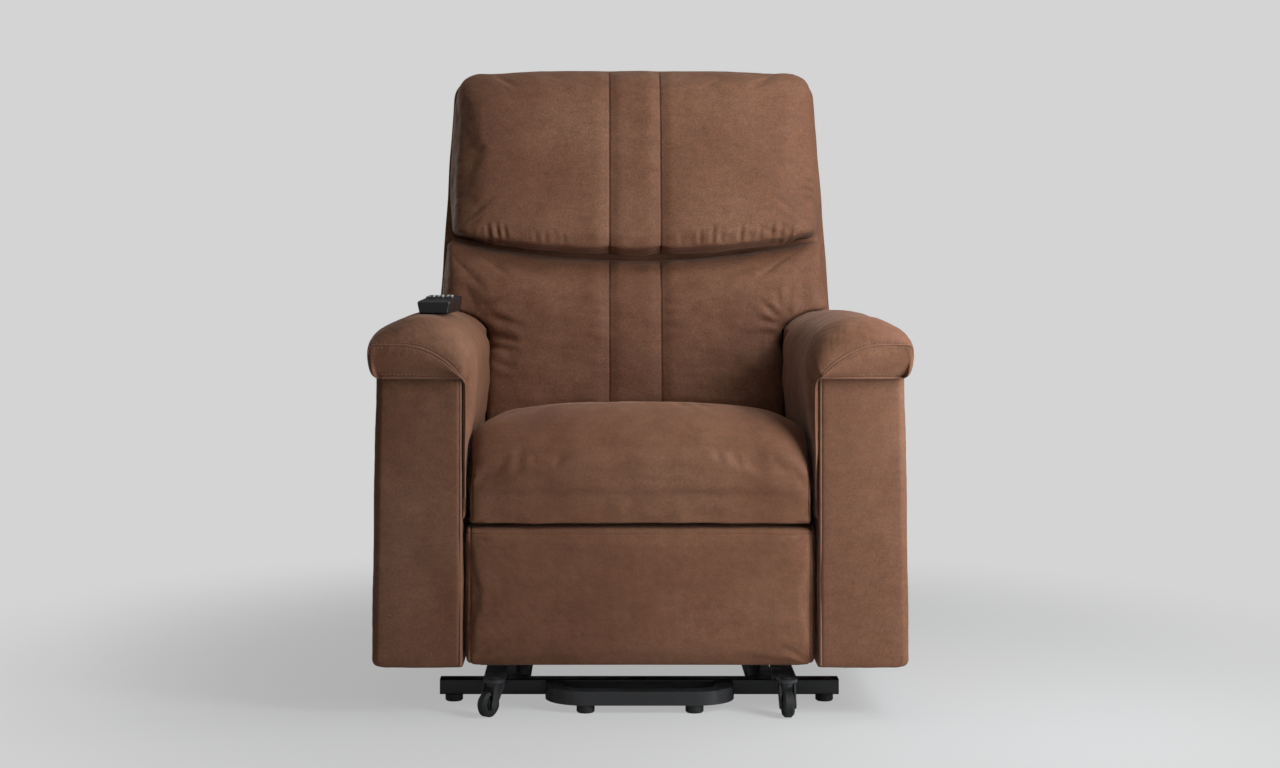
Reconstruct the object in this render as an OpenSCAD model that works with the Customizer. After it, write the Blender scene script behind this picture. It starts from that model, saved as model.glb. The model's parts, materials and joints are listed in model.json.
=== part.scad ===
// Lift recliner chair: padded shell on a steel chassis, raised by four lift links from a floor base.
// Millimetres. The front faces -Y, +Z is up, and the floor is z = 0.
// The origin is the middle of the footprint.
// Points of the side view are written as [distance behind the arm fronts, height above the floor].

/* [Overall] */
// Width over the arm pads
chair_w = 860; // [800:5:940]
// Depth from the arm noses to the back of the backrest
chair_d = 930; // [900:5:980]
// Height to the top of the backrest
chair_h = 1075; // [1000:5:1140]

/* [Arms] */
// Width of an arm's front panel
arm_w = 140; // [110:2:160]
// Length of an arm, from its front panel to its back panel
arm_len = 655; // [600:5:665]
// Underside of the arm
arm_low = 78; // [60:2:110]
// Top of the arm box, where the pad begins
arm_top = 546; // [520:2:580]
// Crown of the arm pad
arm_crown = 633; // [610:1:650]
// How far the arm's outer face leans out at the bottom
arm_flare = 8; // [0:1:14]
// Radius of the arm's upright edges
arm_edge_r = 12; // [6:1:20]
// Thickness of the arm's padded boards
arm_wall = 15; // [10:1:24]
// How far the pad stands out over the outer face
pad_side = 7; // [0:1:14]
// How far the pad's nose stands out over the front panel
pad_nose = 25; // [15:1:40]
// Height of the nose's upright face
nose_h = 46; // [30:1:60]
// Lower edge of the cover where it runs down the inner side
drape_low = 400; // [360:2:460]
// Thickness of the cover on the inner side
drape_t = 6; // [3:1:7]

/* [Seat] */
// Crown of the seat cushion, over its front roll
seat_crown = 493; // [485:1:510]
// How far the seat falls from its crown to the rear
seat_fall = 38; // [10:1:45]
// How far the crown falls to either side
seat_side_fall = 54; // [20:1:60]
// Lower edge of the seat cushion's front
seat_lip = 304; // [303:1:320]
// Depth of the seat cushion, front to back
seat_d = 548; // [500:2:550]
// Gap between the cushion and each arm
seat_gap = 8; // [7:1:14]
// Thickness of the cushion's front lip
lip_t = 44; // [36:1:50]

/* [Seat frame] */
// Underside of the wooden seat frame
frame_low = 300; // [298:1:302]
// Height of the frame's rails
rail_h = 38; // [30:1:40]
// Thickness of the frame's rails
rail_t = 30; // [22:1:32]
// Number of seat springs
spring_count = 5; // [3:1:6]
// Wire radius of the springs
spring_r = 2; // [1.5:0.5:2.5]

/* [Backrest] */
// Lean of the backrest at rest, in degrees
back_lean = 15; // [10:1:18]
// Height of the recline axis
recline_z = 330; // [325:1:334]
// Width between the arms
back_tuck_w = 548; // [500:2:550]
// Width just above the arms
back_wing_w = 738; // [700:2:750]
// Width at the top
back_top_w = 692; // [640:2:710]
// Thickness of the shell behind the cushions
shell_t = 115; // [90:1:120]
// Thickness of the lower cushion
lumbar_t = 88; // [70:1:92]
// Thickness of the upper cushion
head_t = 108; // [90:1:116]
// Where the two cushions meet, along the backrest
split_w = 431; // [410:1:445]
// How far that line sags in the middle
split_sag = 33; // [0:1:40]
// Width of the sewn middle channel
channel_w = 96; // [60:2:140]
// Depth of the channel's seams
seam_depth = 7; // [2:1:10]
// Gap between the two cushions at their ends
cushion_gap = 9; // [2:1:12]
// How far the upper cushion's lower corners stay inside the shell
hem_inset = 8; // [0:1:14]
// How far the lower cushion's top edge sags in the middle
lumbar_sag = 38; // [4:1:42]
// Clearance between the wings of the lower cushion and the arm pads
wing_gap = 4; // [3:1:20]
// Clearance between the shell and the rear of the arms
shell_gap = 6; // [4:1:20]

/* [Footrest] */
// Width of the footrest pad
foot_w = 562; // [500:2:563]
// Lower edge of the pad
foot_low = 76; // [74:1:90]
// Upper edge of the pad
foot_top = 300; // [280:1:302]
// Thickness of the pad
foot_pad_t = 48; // [30:1:50]
// Thickness of the board behind the pad
foot_board_t = 12; // [8:1:12]

/* [Floor base] */
// Length of the front and rear bars
bar_w = 647; // [560:1:680]
// Height of the bars' tube
bar_h = 25; // [20:1:26]
// Depth of the bars' tube
bar_t = 30; // [20:1:34]
// Wall of the tubes
tube_wall = 2; // [1.5:0.5:3]
// Front bar, behind the arm fronts
front_bar_at = 130; // [128:1:140]
// Rear bar, behind the arm fronts
rear_bar_at = 690; // [650:1:720]
// Radius of the rubber feet
foot_r = 14.5; // [10:0.5:18]
// Height of the rubber feet
foot_h = 12; // [8:1:14]
// Distance between the feet on a bar
feet_span = 606; // [500:2:620]
// Width of the bent front loop
loop_w = 305; // [260:1:340]
// Front of the loop, behind the arm fronts
loop_front = 25; // [15:1:40]
// Bend radius of the loop
loop_r = 62; // [50:1:70]
// Distance between the feet under the loop
loop_feet_span = 174; // [100:2:190]

/* [Casters] */
// Distance between the two swivel axes
caster_span = 464; // [440:2:500]
// Swivel axes, behind the arm fronts
caster_at = 16; // [14:1:24]
// Wheel radius
wheel_r = 20; // [16:1:20]
// Wheel width
wheel_w = 18; // [12:1:20]
// Trail of the wheel behind its swivel axis
trail = 14; // [10:1:18]
// Top of the caster bracket
bracket_top = 58; // [56:1:59]

/* [Lift linkage] */
// Floor pivot of the front lift links
lift_a = [222, 71]; // [0:1:400]
// Chassis pivot of the front lift links
lift_b = [510, 134]; // [0:1:700]
// Floor pivot of the rear lift links
lift_c = [293, 95]; // [0:1:400]
// Chassis pivot of the rear lift links
lift_d = [705, 187]; // [0:1:800]
// Thickness of the lift links and chassis plates
plate_t = 6; // [5:0.5:6]
// Half the width of a lift link
link_r = 14; // [11:1:15]
// Radius of the lift pins
pin_r = 6; // [5:0.5:7]
// Inner face of the chassis plates, from the middle
chassis_x = 206; // [200:1:208]
// Radius of the torque tube between the front links
torque_r = 16; // [12:1:17]

/* [Footrest linkage] */
// Drive shaft of the footrest
foot_p = [171, 275]; // [0:1:400]
// Elbow of the main link
foot_q = [255, 124]; // [0:1:400]
// Board pivot of the forward link
foot_r_pin = [74, 240]; // [0:1:400]
// Chassis pivot of the rear guide link
foot_s = [233, 279]; // [0:1:400]
// Pin where the rear guide link meets the forward link
foot_t = [316, 126]; // [0:1:400]
// Main link's pin for the front guide link
foot_u = [250, 162]; // [0:1:400]
// Board pivot of the front guide link
foot_v = [74, 284]; // [0:1:400]
// Thickness of the footrest links
strap_t = 4; // [3:0.5:4]
// Half the width of a footrest link
strap_r = 11; // [10:0.5:11.5]
// Radius of the footrest pins
strap_pin_r = 5; // [4:0.5:6]
// Radius of the drive shaft
shaft_r = 10; // [8:1:12]

/* [Actuators] */
// Floor pivot of the lift actuator
lift_base_pin = [675, 75]; // [0:1:800]
// Length and rest angle of the lift lever
lift_lever = [110, 60]; // [20:1:140]
// Chassis pivot of the back actuator
back_base_pin = [300, 252]; // [0:1:800]
// Length and rest angle of the back crank
back_crank = [90, -50]; // [-80:1:120]
// Chassis pivot of the footrest actuator
foot_base_pin = [500, 250]; // [0:1:800]
// Length and rest angle of the footrest crank
foot_crank = [32, -15]; // [-40:1:60]
// Sideways place of the back and footrest actuators
actuator_x = 90; // [70:1:120]

/* [Handset] */
// Length, width and height of the handset
handset = [150, 54, 22]; // [15:1:180]
// Turn of the handset as it lies on the arm
handset_turn = 4; // [0:1:20]
// Near end of the handset, behind the arm fronts
handset_at = 92; // [60:1:200]
// Width and length of a rocker key
key = [12, 34]; // [8:1:40]
// Height that a key's ends stand out
key_h = 3.5; // [2:0.5:4]
// How steeply the handset's face rises away from its near end
handset_slope = 2; // [0:0.5:4]

/* [Hidden] */

run = 0.05;         // radial clearance of a pin that turns
fit = 0.1;          // clearance of pieces that are welded or bolted together
gap = 2;            // gap between neighbouring plates
open_play = 2;      // radial play of the pivots where the linkages close
front_open_play = 3.2;

front_y = -chair_d / 2 + pad_nose;
arm_in = chair_w / 2 - pad_side - arm_w;
arm_rear_y = front_y + arm_len;
bar_low = foot_h;
bar_high = foot_h + bar_h;
seat_rail_x = chassis_x + 4;
frame_front_y = front_y + lip_t + 20;
frame_d = 425;

// Planes of the lift links, from the middle outwards: front link, floor plate, chassis plate, rear link
floor_plate_x = chassis_x - gap - plate_t;
front_link_x = floor_plate_x - gap - plate_t;
rear_link_x = chassis_x + plate_t + gap;
a = at(lift_a);
b = at(lift_b);
c = at(lift_c);
d = at(lift_d);

// Planes of the footrest links, outwards: front guide, main link, forward link, rear guide
strap_pitch = strap_t + gap;
guide_front_x = rear_link_x + plate_t + gap;
main_x = guide_front_x + strap_pitch;
forward_x = main_x + strap_pitch;
guide_rear_x = forward_x + strap_pitch;
shaft = at(foot_p);
q = at(foot_q);
r = at(foot_r_pin);
s = at(foot_s);
t = at(foot_t);
u = at(foot_u);
v = at(foot_v);

// The backrest's own frame: x across, y through it, z along it, with the recline axis at the origin
shell_front = -20;
shell_back = shell_front + shell_t;
back_corner = 45;
back_round = [46, 100];     // depth and height of the rounding at the top of the shell's rear
cushion_edge = 24;          // thickness of a back cushion at its edge
crown_swell = 0.9;          // what the crown adds above that edge
shell_low = 45;
crown_z = chair_h - crown_swell - (cushion_edge + 2 - shell_front) * sin(back_lean);
back_h = (crown_z - recline_z) / cos(back_lean) + 1;
round_depth = back_round[0] * cos(back_lean);
round_rise = back_round[1] * sin(back_lean);
back_reach = (back_h - back_round[1]) * sin(back_lean) + shell_back * cos(back_lean)
    + norm([round_depth, round_rise]) - round_depth;
recline_y = chair_d / 2 - back_reach;
recline = [recline_y, recline_z];
wing_w = (arm_crown + wing_gap - recline_z + (shell_front - lumbar_t) * sin(back_lean)) / cos(back_lean);
behind_arm_w = (arm_rear_y + shell_gap - recline_y - shell_front * cos(back_lean)) / sin(back_lean);
shell_wing_w = min(wing_w, behind_arm_w);

// Actuators: the side-view direction is a little off the rod's pin, so that it is right twice in the stroke
lift_pin = polar(a, lift_lever[0], lift_lever[1]);
back_pin = polar(recline, back_crank[0], back_crank[1]);
foot_pin = polar(shaft, foot_crank[0], foot_crank[1]);
lift_aim = heading(at(lift_base_pin), lift_pin) - 0.914;
back_aim = heading(at(back_base_pin), back_pin) - 0.343;
foot_aim = heading(at(foot_base_pin), foot_pin) + 1.299;
motor_eye_w = 20;
rod_eye_w = 14;
ear_reach = 16;     // half the span of an actuator's fork on the chassis

// Side view helpers
function at(p) = [front_y + p[0], p[1]];
function polar(c, r, a) = c + r * [cos(a), sin(a)];
function heading(a, b) = atan2(b[1] - a[1], b[0] - a[0]);
module plate(x, t) { translate([x, 0, 0]) rotate([90, 0, 90]) linear_extrude(t) children(); }
module pin(p, r, x0, x1) {
    translate([x0, p[0], p[1]]) rotate([0, 90, 0]) cylinder(h = x1 - x0, r = r, $fn = 48);
}
module strap2d(a, b, r) {
    hull() {
        translate(a) circle(r, $fn = 32);
        translate(b) circle(r, $fn = 32);
    }
}
module mirrored(side) {
    if (side < 0) mirror([1, 0, 0]) children();
    else children();
}
module both() {
    children();
    mirror([1, 0, 0]) children();
}
module rect_ring(w, h, wall, r) {
    difference() {
        rounded2d(w, h, r);
        rounded2d(w - 2 * wall, h - 2 * wall, max(r - wall, 0.5));
    }
}
module rounded2d(w, h, r) {
    hull() for (x = [-1, 1], y = [-1, 1])
        translate([x * (w / 2 - r), y * (h / 2 - r)]) circle(r, $fn = 16);
}

// Closed form between two grids of points: rows of stations t, columns of stations s
module two_sheet(s, t, top, bottom) {
    n = len(s);
    m = len(t);
    points = concat([for (b = t) for (a = s) top(a, b)], [for (b = t) for (a = s) bottom(a, b)]);
    low = n * m;
    sheet = [for (j = [0:m - 2]) for (i = [0:n - 2]) let (k = j * n + i) each [
        [k, k + n, k + n + 1], [k, k + n + 1, k + 1],
        [low + k, low + k + 1, low + k + n + 1], [low + k, low + k + n + 1, low + k + n]]];
    ends = [for (i = [0:n - 2]) let (k = i, l = (m - 1) * n + i) each [
        [k, k + 1, low + k + 1], [k, low + k + 1, low + k],
        [l, low + l, low + l + 1], [l, low + l + 1, l + 1]]];
    sides = [for (j = [0:m - 2]) let (k = j * n, l = j * n + n - 1) each [
        [k, low + k, low + k + n], [k, low + k + n, k + n],
        [l, l + n, low + l + n], [l, low + l + n, low + l]]];
    polyhedron(points, concat(sheet, ends, sides), convexity = 4);
}
// Stations from -1 to 1, close together near both ends
function rounded_stations(n) = [for (i = [0:n]) sin(90 * (2 * i / n - 1))];
// 1 in the middle and 0 at the ends, flatter with a higher power
function dome(a, power) = pow(max(0, 1 - pow(abs(a), power)), 1 / power);
function groove(x, width) = exp(-pow(x / width, 2));

// ---------------------------------------------------------------- floor base
front_bar_y = front_y + front_bar_at;
rear_bar_y = front_y + rear_bar_at;
bar_mid_z = (bar_low + bar_high) / 2;
rail_w = 40;
rail_x = chassis_x - gap - plate_t / 2;

module bar_along_x(y) {
    translate([-bar_w / 2, y, bar_mid_z]) rotate([90, 0, 90])
        linear_extrude(bar_w) rect_ring(bar_t, bar_h, tube_wall, 3);
}
module base_front_bar() { color("#1c1c1e") bar_along_x(front_bar_y); }
module base_rear_bar() { color("#1c1c1e") bar_along_x(rear_bar_y); }
module base_side_rails() {
    color("#1c1c1e") both() translate([rail_x, rear_bar_y - bar_t / 2, bar_mid_z]) rotate([90, 0, 0])
        linear_extrude(rear_bar_y - front_bar_y - bar_t) rect_ring(rail_w, bar_h, tube_wall, 3);
}
module base_end_caps() {
    plug_t = 10;
    lid_t = 2;
    inset = 2 * (tube_wall + fit);
    color("#101010") for (y = [front_bar_y, rear_bar_y])
        both() translate([bar_w / 2, y, bar_mid_z]) rotate([90, 0, 90]) {
            linear_extrude(lid_t) rounded2d(bar_t, bar_h, 3);
            translate([0, 0, -plug_t]) linear_extrude(plug_t) rounded2d(bar_t - inset, bar_h - inset, 1);
        }
}
loop_tube_w = 30;
loop_tube_h = 22;
loop_low = foot_h + 1;
loop_y = front_y + loop_front + loop_tube_w / 2;
// Bent D of flat tube: a front run, two bends and two legs that are welded to the front bar
module base_loop() {
    bend = loop_r - loop_tube_w / 2;
    leg_x = loop_w / 2 - loop_tube_w / 2;
    leg_end = front_bar_y - bar_t / 2 - fit;
    color("#1c1c1e") translate([0, 0, loop_low]) {
        translate([-(leg_x - bend), loop_y - loop_tube_w / 2, 0])
            cube([2 * (leg_x - bend), loop_tube_w, loop_tube_h]);
        both() {
            translate([leg_x - bend, loop_y + bend, 0]) rotate([0, 0, -90])
                rotate_extrude(angle = 90, $fn = 64)
                    translate([bend - loop_tube_w / 2, 0]) square([loop_tube_w, loop_tube_h]);
            translate([leg_x - loop_tube_w / 2, loop_y + bend, 0])
                cube([loop_tube_w, leg_end - loop_y - bend, loop_tube_h]);
        }
    }
}
module rubber_foot(x, y, h) {
    chamfer = 2;
    translate([x, y, 0]) rotate_extrude($fn = 48)
        polygon([[0, 0], [foot_r - chamfer, 0], [foot_r, chamfer], [foot_r, h - fit], [0, h - fit]]);
}
module base_feet() {
    color("#0d0d0d") both() {
        for (y = [front_bar_y, rear_bar_y]) rubber_foot(feet_span / 2, y, foot_h);
        rubber_foot(loop_feet_span / 2, loop_y, loop_low);
    }
}

// ---------------------------------------------------------------- casters
caster_y = front_y + caster_at;
stem_r = 5;
crown_h = 5;
fork_t = 2.5;
bracket_t = 5;
wheel_turns = [-38, 4];    // turn of the left and the right caster at rest, from straight ahead
module caster_brackets() {
    tongue_w = 34;
    root_y = front_bar_y + bar_t / 2;
    color("#1c1c1e") both() difference() {
        union() {
            translate([caster_span / 2 - tongue_w / 2, caster_y, bracket_top - bracket_t])
                cube([tongue_w, root_y - caster_y, bracket_t]);
            translate([caster_span / 2, caster_y, bracket_top - bracket_t])
                cylinder(h = bracket_t, r = tongue_w / 2, $fn = 48);
            translate([caster_span / 2 - tongue_w / 2, root_y - bar_t, bar_high + fit])
                cube([tongue_w, bar_t, bracket_top - bracket_t - bar_high - fit]);
        }
        translate([caster_span / 2, caster_y, 0]) cylinder(h = 2 * bracket_top, r = stem_r + run, $fn = 48);
    }
}
module at_caster(side) {
    turn = wheel_turns[side < 0 ? 0 : 1];
    translate([side * caster_span / 2, caster_y, 0]) rotate([0, 0, turn]) children();
}
// Stem, crown and two cheeks; the axle is riveted into the cheeks. The wheel trails towards -Y
module caster_fork(side) {
    crown_z = bracket_top - bracket_t - 1 - crown_h;
    cheek_x = wheel_w / 2 + 1.5;
    axle_r = 3;
    color("#161616") at_caster(side) {
        translate([0, 0, crown_z]) cylinder(h = bracket_top + 1 - crown_z, r = stem_r, $fn = 48);
        translate([0, 0, crown_z]) cylinder(h = crown_h, r = cheek_x + fork_t, $fn = 48);
        translate([0, 0, bracket_top + 0.5]) cylinder(h = 1.5, r = stem_r + 3, $fn = 48);
        both() plate(cheek_x, fork_t) hull() {
            translate([0, crown_z + crown_h / 2]) square([2 * cheek_x, crown_h], center = true);
            translate([-trail, wheel_r]) circle(7, $fn = 32);
        }
        pin([-trail, wheel_r], axle_r, -cheek_x - fork_t, cheek_x + fork_t);
    }
}
module caster_wheel(side) {
    bore = 3 + run;
    edge = 4;
    half = wheel_w / 2;
    web = half - 3;
    rim = wheel_r - edge;
    hub = wheel_r * 0.45;
    color("#0e0e0e") at_caster(side) translate([0, -trail, wheel_r]) rotate([0, 90, 0])
        rotate_extrude($fn = 64) polygon([[bore, -half], [hub, -half], [hub + 1, -web], [rim - 2, -web],
            [rim, -half], [wheel_r, -half + edge], [wheel_r, half - edge], [rim, half], [rim - 2, web],
            [hub + 1, web], [hub, half], [bore, half]]);
}

// ---------------------------------------------------------------- lift linkage
snap = 1.4;         // length of a pin that stands past its plate

module lift_floor_brackets() {
    bracket_r = link_r + 1;
    color("#1c1c1e") both() difference() {
        plate(floor_plate_x, plate_t) {
            hull() {
                translate(a) circle(bracket_r, $fn = 32);
                translate([a[0] - bracket_r, bar_high + fit]) square([2 * bracket_r, 1]);
            }
            hull() {
                translate(a) circle(bracket_r, $fn = 32);
                translate(c) circle(bracket_r, $fn = 32);
                translate([c[0] - bracket_r, bar_high + fit]) square([2 * bracket_r, 1]);
            }
        }
        for (p = [a, c]) pin(p, pin_r + run, floor_plate_x - 1, floor_plate_x + plate_t + 1);
    }
    ear_t = 5;
    ear_x = motor_eye_w / 2 + 1;
    e = at(lift_base_pin);
    color("#1c1c1e") both() difference() {
        plate(ear_x, ear_t) hull() {
            translate(e) circle(12, $fn = 32);
            translate([e[0] - 14, bar_high + fit]) square([28, 1]);
        }
        pin(e, pin_r + run, ear_x - 1, ear_x + ear_t + 1);
    }
}
module lift_floor_pins() {
    e = at(lift_base_pin);
    color("#6b6d70") {
        both() {
            pin(a, pin_r, front_link_x - snap, floor_plate_x + plate_t + snap);
            pin(c, pin_r, floor_plate_x - snap, rear_link_x + plate_t + snap);
        }
        pin(e, pin_r, -motor_eye_w / 2 - 7.5, motor_eye_w / 2 + 7.5);
    }
}
module lift_chassis_pins() {
    p = at(foot_s);
    g = at(back_base_pin);
    h = at(foot_base_pin);
    color("#6b6d70") {
        both() {
            pin(b, pin_r, front_link_x - snap, chassis_x + plate_t);
            pin(d, pin_r, chassis_x, rear_link_x + plate_t + snap);
            pin(p, strap_pin_r, chassis_x, guide_rear_x + strap_t + snap);
            pin(recline, pin_r, chassis_x - snap, rear_link_x + plate_t + snap);
        }
        pin(g, strap_pin_r, -actuator_x - ear_reach, -actuator_x + ear_reach);
        pin(h, strap_pin_r, actuator_x - ear_reach, actuator_x + ear_reach);
    }
}
module lift_front_links() {
    color("#2b2c2e") both() difference() {
        plate(front_link_x, plate_t) strap2d(a, b, link_r);
        for (p = [a, b]) pin(p, pin_r + run, front_link_x - 1, front_link_x + plate_t + 1);
    }
}
module lift_torque_tube() {
    end_x = front_link_x - fit;
    color("#2b2c2e") difference() {
        pin(a, torque_r, -end_x, end_x);
        pin(a, torque_r - 4, -end_x - 1, end_x + 1);
    }
}
lever_x = 9;
lever_t = 6;
// Two lever plates on the torque tube, with the pin that the lift actuator pushes
module lift_lever_plates() {
    color("#2b2c2e") {
        both() difference() {
            plate(lever_x, lever_t) hull() {
                translate(a) circle(torque_r + 6, $fn = 48);
                translate(lift_pin) circle(12, $fn = 32);
            }
            pin(a, torque_r + run, lever_x - 1, lever_x + lever_t + 1);
        }
        pin(lift_pin, strap_pin_r + 1, -lever_x - 0.5, lever_x + 0.5);
    }
}
module lift_rear_links() {
    color("#2b2c2e") both() difference() {
        plate(rear_link_x, plate_t) strap2d(c, d, link_r);
        pin(c, pin_r + run, rear_link_x - 1, rear_link_x + plate_t + 1);
        pin(d, pin_r + open_play, rear_link_x - 1, rear_link_x + plate_t + 1);
    }
}

// ---------------------------------------------------------------- linear actuators
module aimed(x, p, aim) { translate([x, p[0], p[1]]) rotate([aim - 90, 0, 0]) children(); }
// Gearbox with its rear eye; the motor hangs on the side that motor_side names
module gearbox(eye_r, box, pin_radius, motor_side, motor_r, motor_len) {
    box_from = eye_r + 1;
    difference() {
        union() {
            rotate([0, 90, 0]) cylinder(h = motor_eye_w, r = eye_r, center = true, $fn = 48);
            translate([-motor_eye_w / 2, -eye_r, 0]) cube([motor_eye_w, 2 * eye_r, box_from + 3]);
            translate([-box[0] / 2, -box[1] / 2, box_from]) cube(box);
            translate([motor_side * (box[0] / 2 - 1), 0, box_from + box[2] / 2])
                rotate([0, motor_side * 90, 0]) {
                    cylinder(h = motor_len, r = motor_r, $fn = 48);
                    translate([0, 0, motor_len]) cylinder(h = 4, r1 = motor_r, r2 = motor_r - 4, $fn = 48);
                }
        }
        rotate([0, 90, 0]) cylinder(h = motor_eye_w + 2, r = pin_radius + run, center = true, $fn = 48);
    }
}
// Outer tube with an open mouth and a collar
module outer_tube(from, to, r, bore) {
    collar = 10;
    difference() {
        union() {
            translate([0, 0, from]) cylinder(h = to - from, r = r, $fn = 48);
            translate([0, 0, to - collar]) cylinder(h = collar, r = r + 2, $fn = 48);
        }
        translate([0, 0, from + 6]) cylinder(h = to, r = bore, $fn = 48);
    }
}
// Rod with its front eye at the origin; it runs back along -Z
module rod(len, r, eye_r, pin_radius) {
    difference() {
        union() {
            translate([0, 0, -len]) cylinder(h = len - eye_r + 1, r = r, $fn = 48);
            rotate([0, 90, 0]) cylinder(h = rod_eye_w, r = eye_r, center = true, $fn = 48);
        }
        rotate([0, 90, 0]) cylinder(h = rod_eye_w + 2, r = pin_radius + run, center = true, $fn = 48);
    }
}
lift_box = [52, 50, 56];
small_box = [34, 36, 40];
module lift_motor() {
    color("#26272a") aimed(0, at(lift_base_pin), lift_aim) gearbox(12, lift_box, pin_r, 1, 24, 78);
}
module lift_motor_tube() {
    color("#7d8083") aimed(0, at(lift_base_pin), lift_aim) outer_tube(69 + fit, 330, 23, 18.5);
}
module lift_rod() {
    color("#b9bcc0") aimed(0, lift_pin, lift_aim) rod(250, 9, 13, strap_pin_r + 1);
}
module back_motor() {
    color("#26272a") aimed(-actuator_x, at(back_base_pin), back_aim) {
        gearbox(10, small_box, strap_pin_r, -1, 16, 48);
        outer_tube(51, 270, 16, 13);
    }
}
module back_rod() {
    color("#b9bcc0") aimed(-actuator_x, back_pin, back_aim) rod(230, 7, 11, strap_pin_r);
}
module foot_motor() {
    color("#26272a") aimed(actuator_x, at(foot_base_pin), foot_aim) {
        gearbox(10, small_box, strap_pin_r, 1, 16, 48);
        outer_tube(51, 240, 17, 14);
    }
}
module foot_rod() {
    color("#b9bcc0") aimed(actuator_x, foot_pin, foot_aim) rod(190, 6, 11, strap_pin_r);
}

// ---------------------------------------------------------------- chassis
flange_t = 3;
cross_r = 11;
cross_z = frame_low - 13;
cross_y = [front_y + 290, front_y + 500];
module chassis_plate(side) {
    guide = at(foot_s);
    top_z = frame_low - fit;
    seat_end = frame_front_y + frame_d;
    web_h = 42;
    color("#2b2c2e") mirrored(side) {
        difference() {
            plate(chassis_x, plate_t) {
                hull() {
                    translate(shaft) circle(20, $fn = 32);
                    translate([shaft[0], top_z - web_h]) square([seat_end + fit + 1 - shaft[0], web_h]);
                }
                hull() {
                    translate([b[0] - 70, top_z - web_h]) square([170, 10]);
                    translate(b) circle(link_r + 4, $fn = 32);
                }
                hull() {
                    translate([b[0] + 20, top_z - 30]) square([60, 10]);
                    translate(b) circle(link_r + 2, $fn = 32);
                    translate(d) circle(link_r + 4, $fn = 32);
                }
                hull() {
                    translate([seat_end + fit, top_z - web_h]) square([1, web_h]);
                    translate(recline) circle(17, $fn = 32);
                    translate(d) circle(link_r + 4, $fn = 32);
                }
            }
            pin(shaft, shaft_r + run, chassis_x - 1, chassis_x + plate_t + 1);
            for (p = [b, d, recline]) pin(p, pin_r + run, chassis_x - 1, chassis_x + plate_t + 1);
            pin(guide, strap_pin_r + run, chassis_x - 1, chassis_x + plate_t + 1);
            pin([(b[0] + d[0]) / 2 - 10, (b[1] + d[1]) / 2 + 48], 20, chassis_x - 1, chassis_x + plate_t + 1);
        }
        translate([chassis_x + plate_t, shaft[0] + 14, top_z - flange_t])
            cube([seat_rail_x + rail_t - chassis_x - plate_t, seat_end - shaft[0] - 14, flange_t]);
    }
}
// Two cross tubes with the forks that carry the back and footrest actuators
module chassis_cross_tubes() {
    ear_t = 4;
    color("#2b2c2e") {
        for (y = cross_y) difference() {
            pin([y, cross_z], cross_r, -chassis_x + fit, chassis_x - fit);
            pin([y, cross_z], cross_r - 2.5, -chassis_x, chassis_x);
        }
        actuator_fork(-actuator_x, [cross_y[0], cross_z], at(back_base_pin), ear_t);
        actuator_fork(actuator_x, [cross_y[1], cross_z], at(foot_base_pin), ear_t);
    }
}
module actuator_fork(x, tube, p, ear_t) {
    for (x0 = [x - ear_reach + 0.5, x + ear_reach - ear_t - 0.5]) difference() {
        plate(x0, ear_t) strap2d(tube, p, 9);
        pin(tube, cross_r - 1, x0 - 1, x0 + ear_t + 1);
        pin(p, strap_pin_r + run, x0 - 1, x0 + ear_t + 1);
    }
}

// ---------------------------------------------------------------- seat
seat_front_y = front_y + 4;
module seat_frame_sides() {
    color("#b98f5c") both()
        translate([seat_rail_x, frame_front_y, frame_low]) cube([rail_t, frame_d, rail_h]);
}
module seat_frame_rails() {
    color("#b98f5c") for (y = [frame_front_y, frame_front_y + frame_d - rail_t])
        translate([-seat_rail_x + fit, y, frame_low]) cube([2 * (seat_rail_x - fit), rail_t, rail_h]);
}
// Zigzag wire along a path of points, swept with six sides
module wire(path, r) {
    sides = 6;
    n = len(path);
    function along(i) = path[min(i + 1, n - 1)] - path[max(i - 1, 0)];
    function unit(v) = v / norm(v);
    up = [0, 0, 1];
    points = [for (i = [0:n - 1]) let (t = unit(along(i)), u = unit(cross(up, t)), v = cross(t, u))
        for (k = [0:sides - 1]) path[i] + r * (cos(60 * k) * u + sin(60 * k) * v)];
    walls = [for (i = [0:n - 2]) for (k = [0:sides - 1])
        let (p = i * sides + k, q = i * sides + (k + 1) % sides)
        each [[p, q, q + sides], [p, q + sides, p + sides]]];
    caps = [[for (k = [sides - 1:-1:0]) k], [for (k = [0:sides - 1]) (n - 1) * sides + k]];
    polyhedron(points, concat(walls, caps));
}
spring_waves = 6;
spring_steps = 6;
spring_half = 24;
module zigzag(length) {
    wire([for (i = [0:spring_waves * spring_steps]) let (f = i / (spring_waves * spring_steps))
        [spring_half * sin(360 * f * spring_waves) * min(1, 8 * f, 8 * (1 - f)), length * f, 0]], spring_r);
}
module seat_springs() {
    inner = 2 * seat_rail_x - 2 * spring_half - 60;
    length = frame_d - 2 * rail_t + 24;
    step = spring_count > 1 ? inner / (spring_count - 1) : 0;
    color("#8a8d90") for (i = [0:spring_count - 1])
        translate([-inner / 2 + i * step, frame_front_y + rail_t - 12, frame_low + rail_h + spring_r + fit])
            zigzag(length);
}
seat_half = arm_in - seat_gap;
seat_under = frame_low + rail_h + 2 * spring_r + 1;
seat_cover = [-1, -0.99, -0.96, -0.9, -0.8, -0.65, -0.4, 0, 0.4, 0.65, 0.8, 0.9, 0.96, 0.99, 1];
seat_rows = [for (i = [0:16]) i / 16];
nose_from = 0.16;   // shares of the rows where the front's nose begins and ends
nose_to = 0.36;
nose_r = 82;
nose_out = 5;       // how far the nose stands out over the lip
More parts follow.
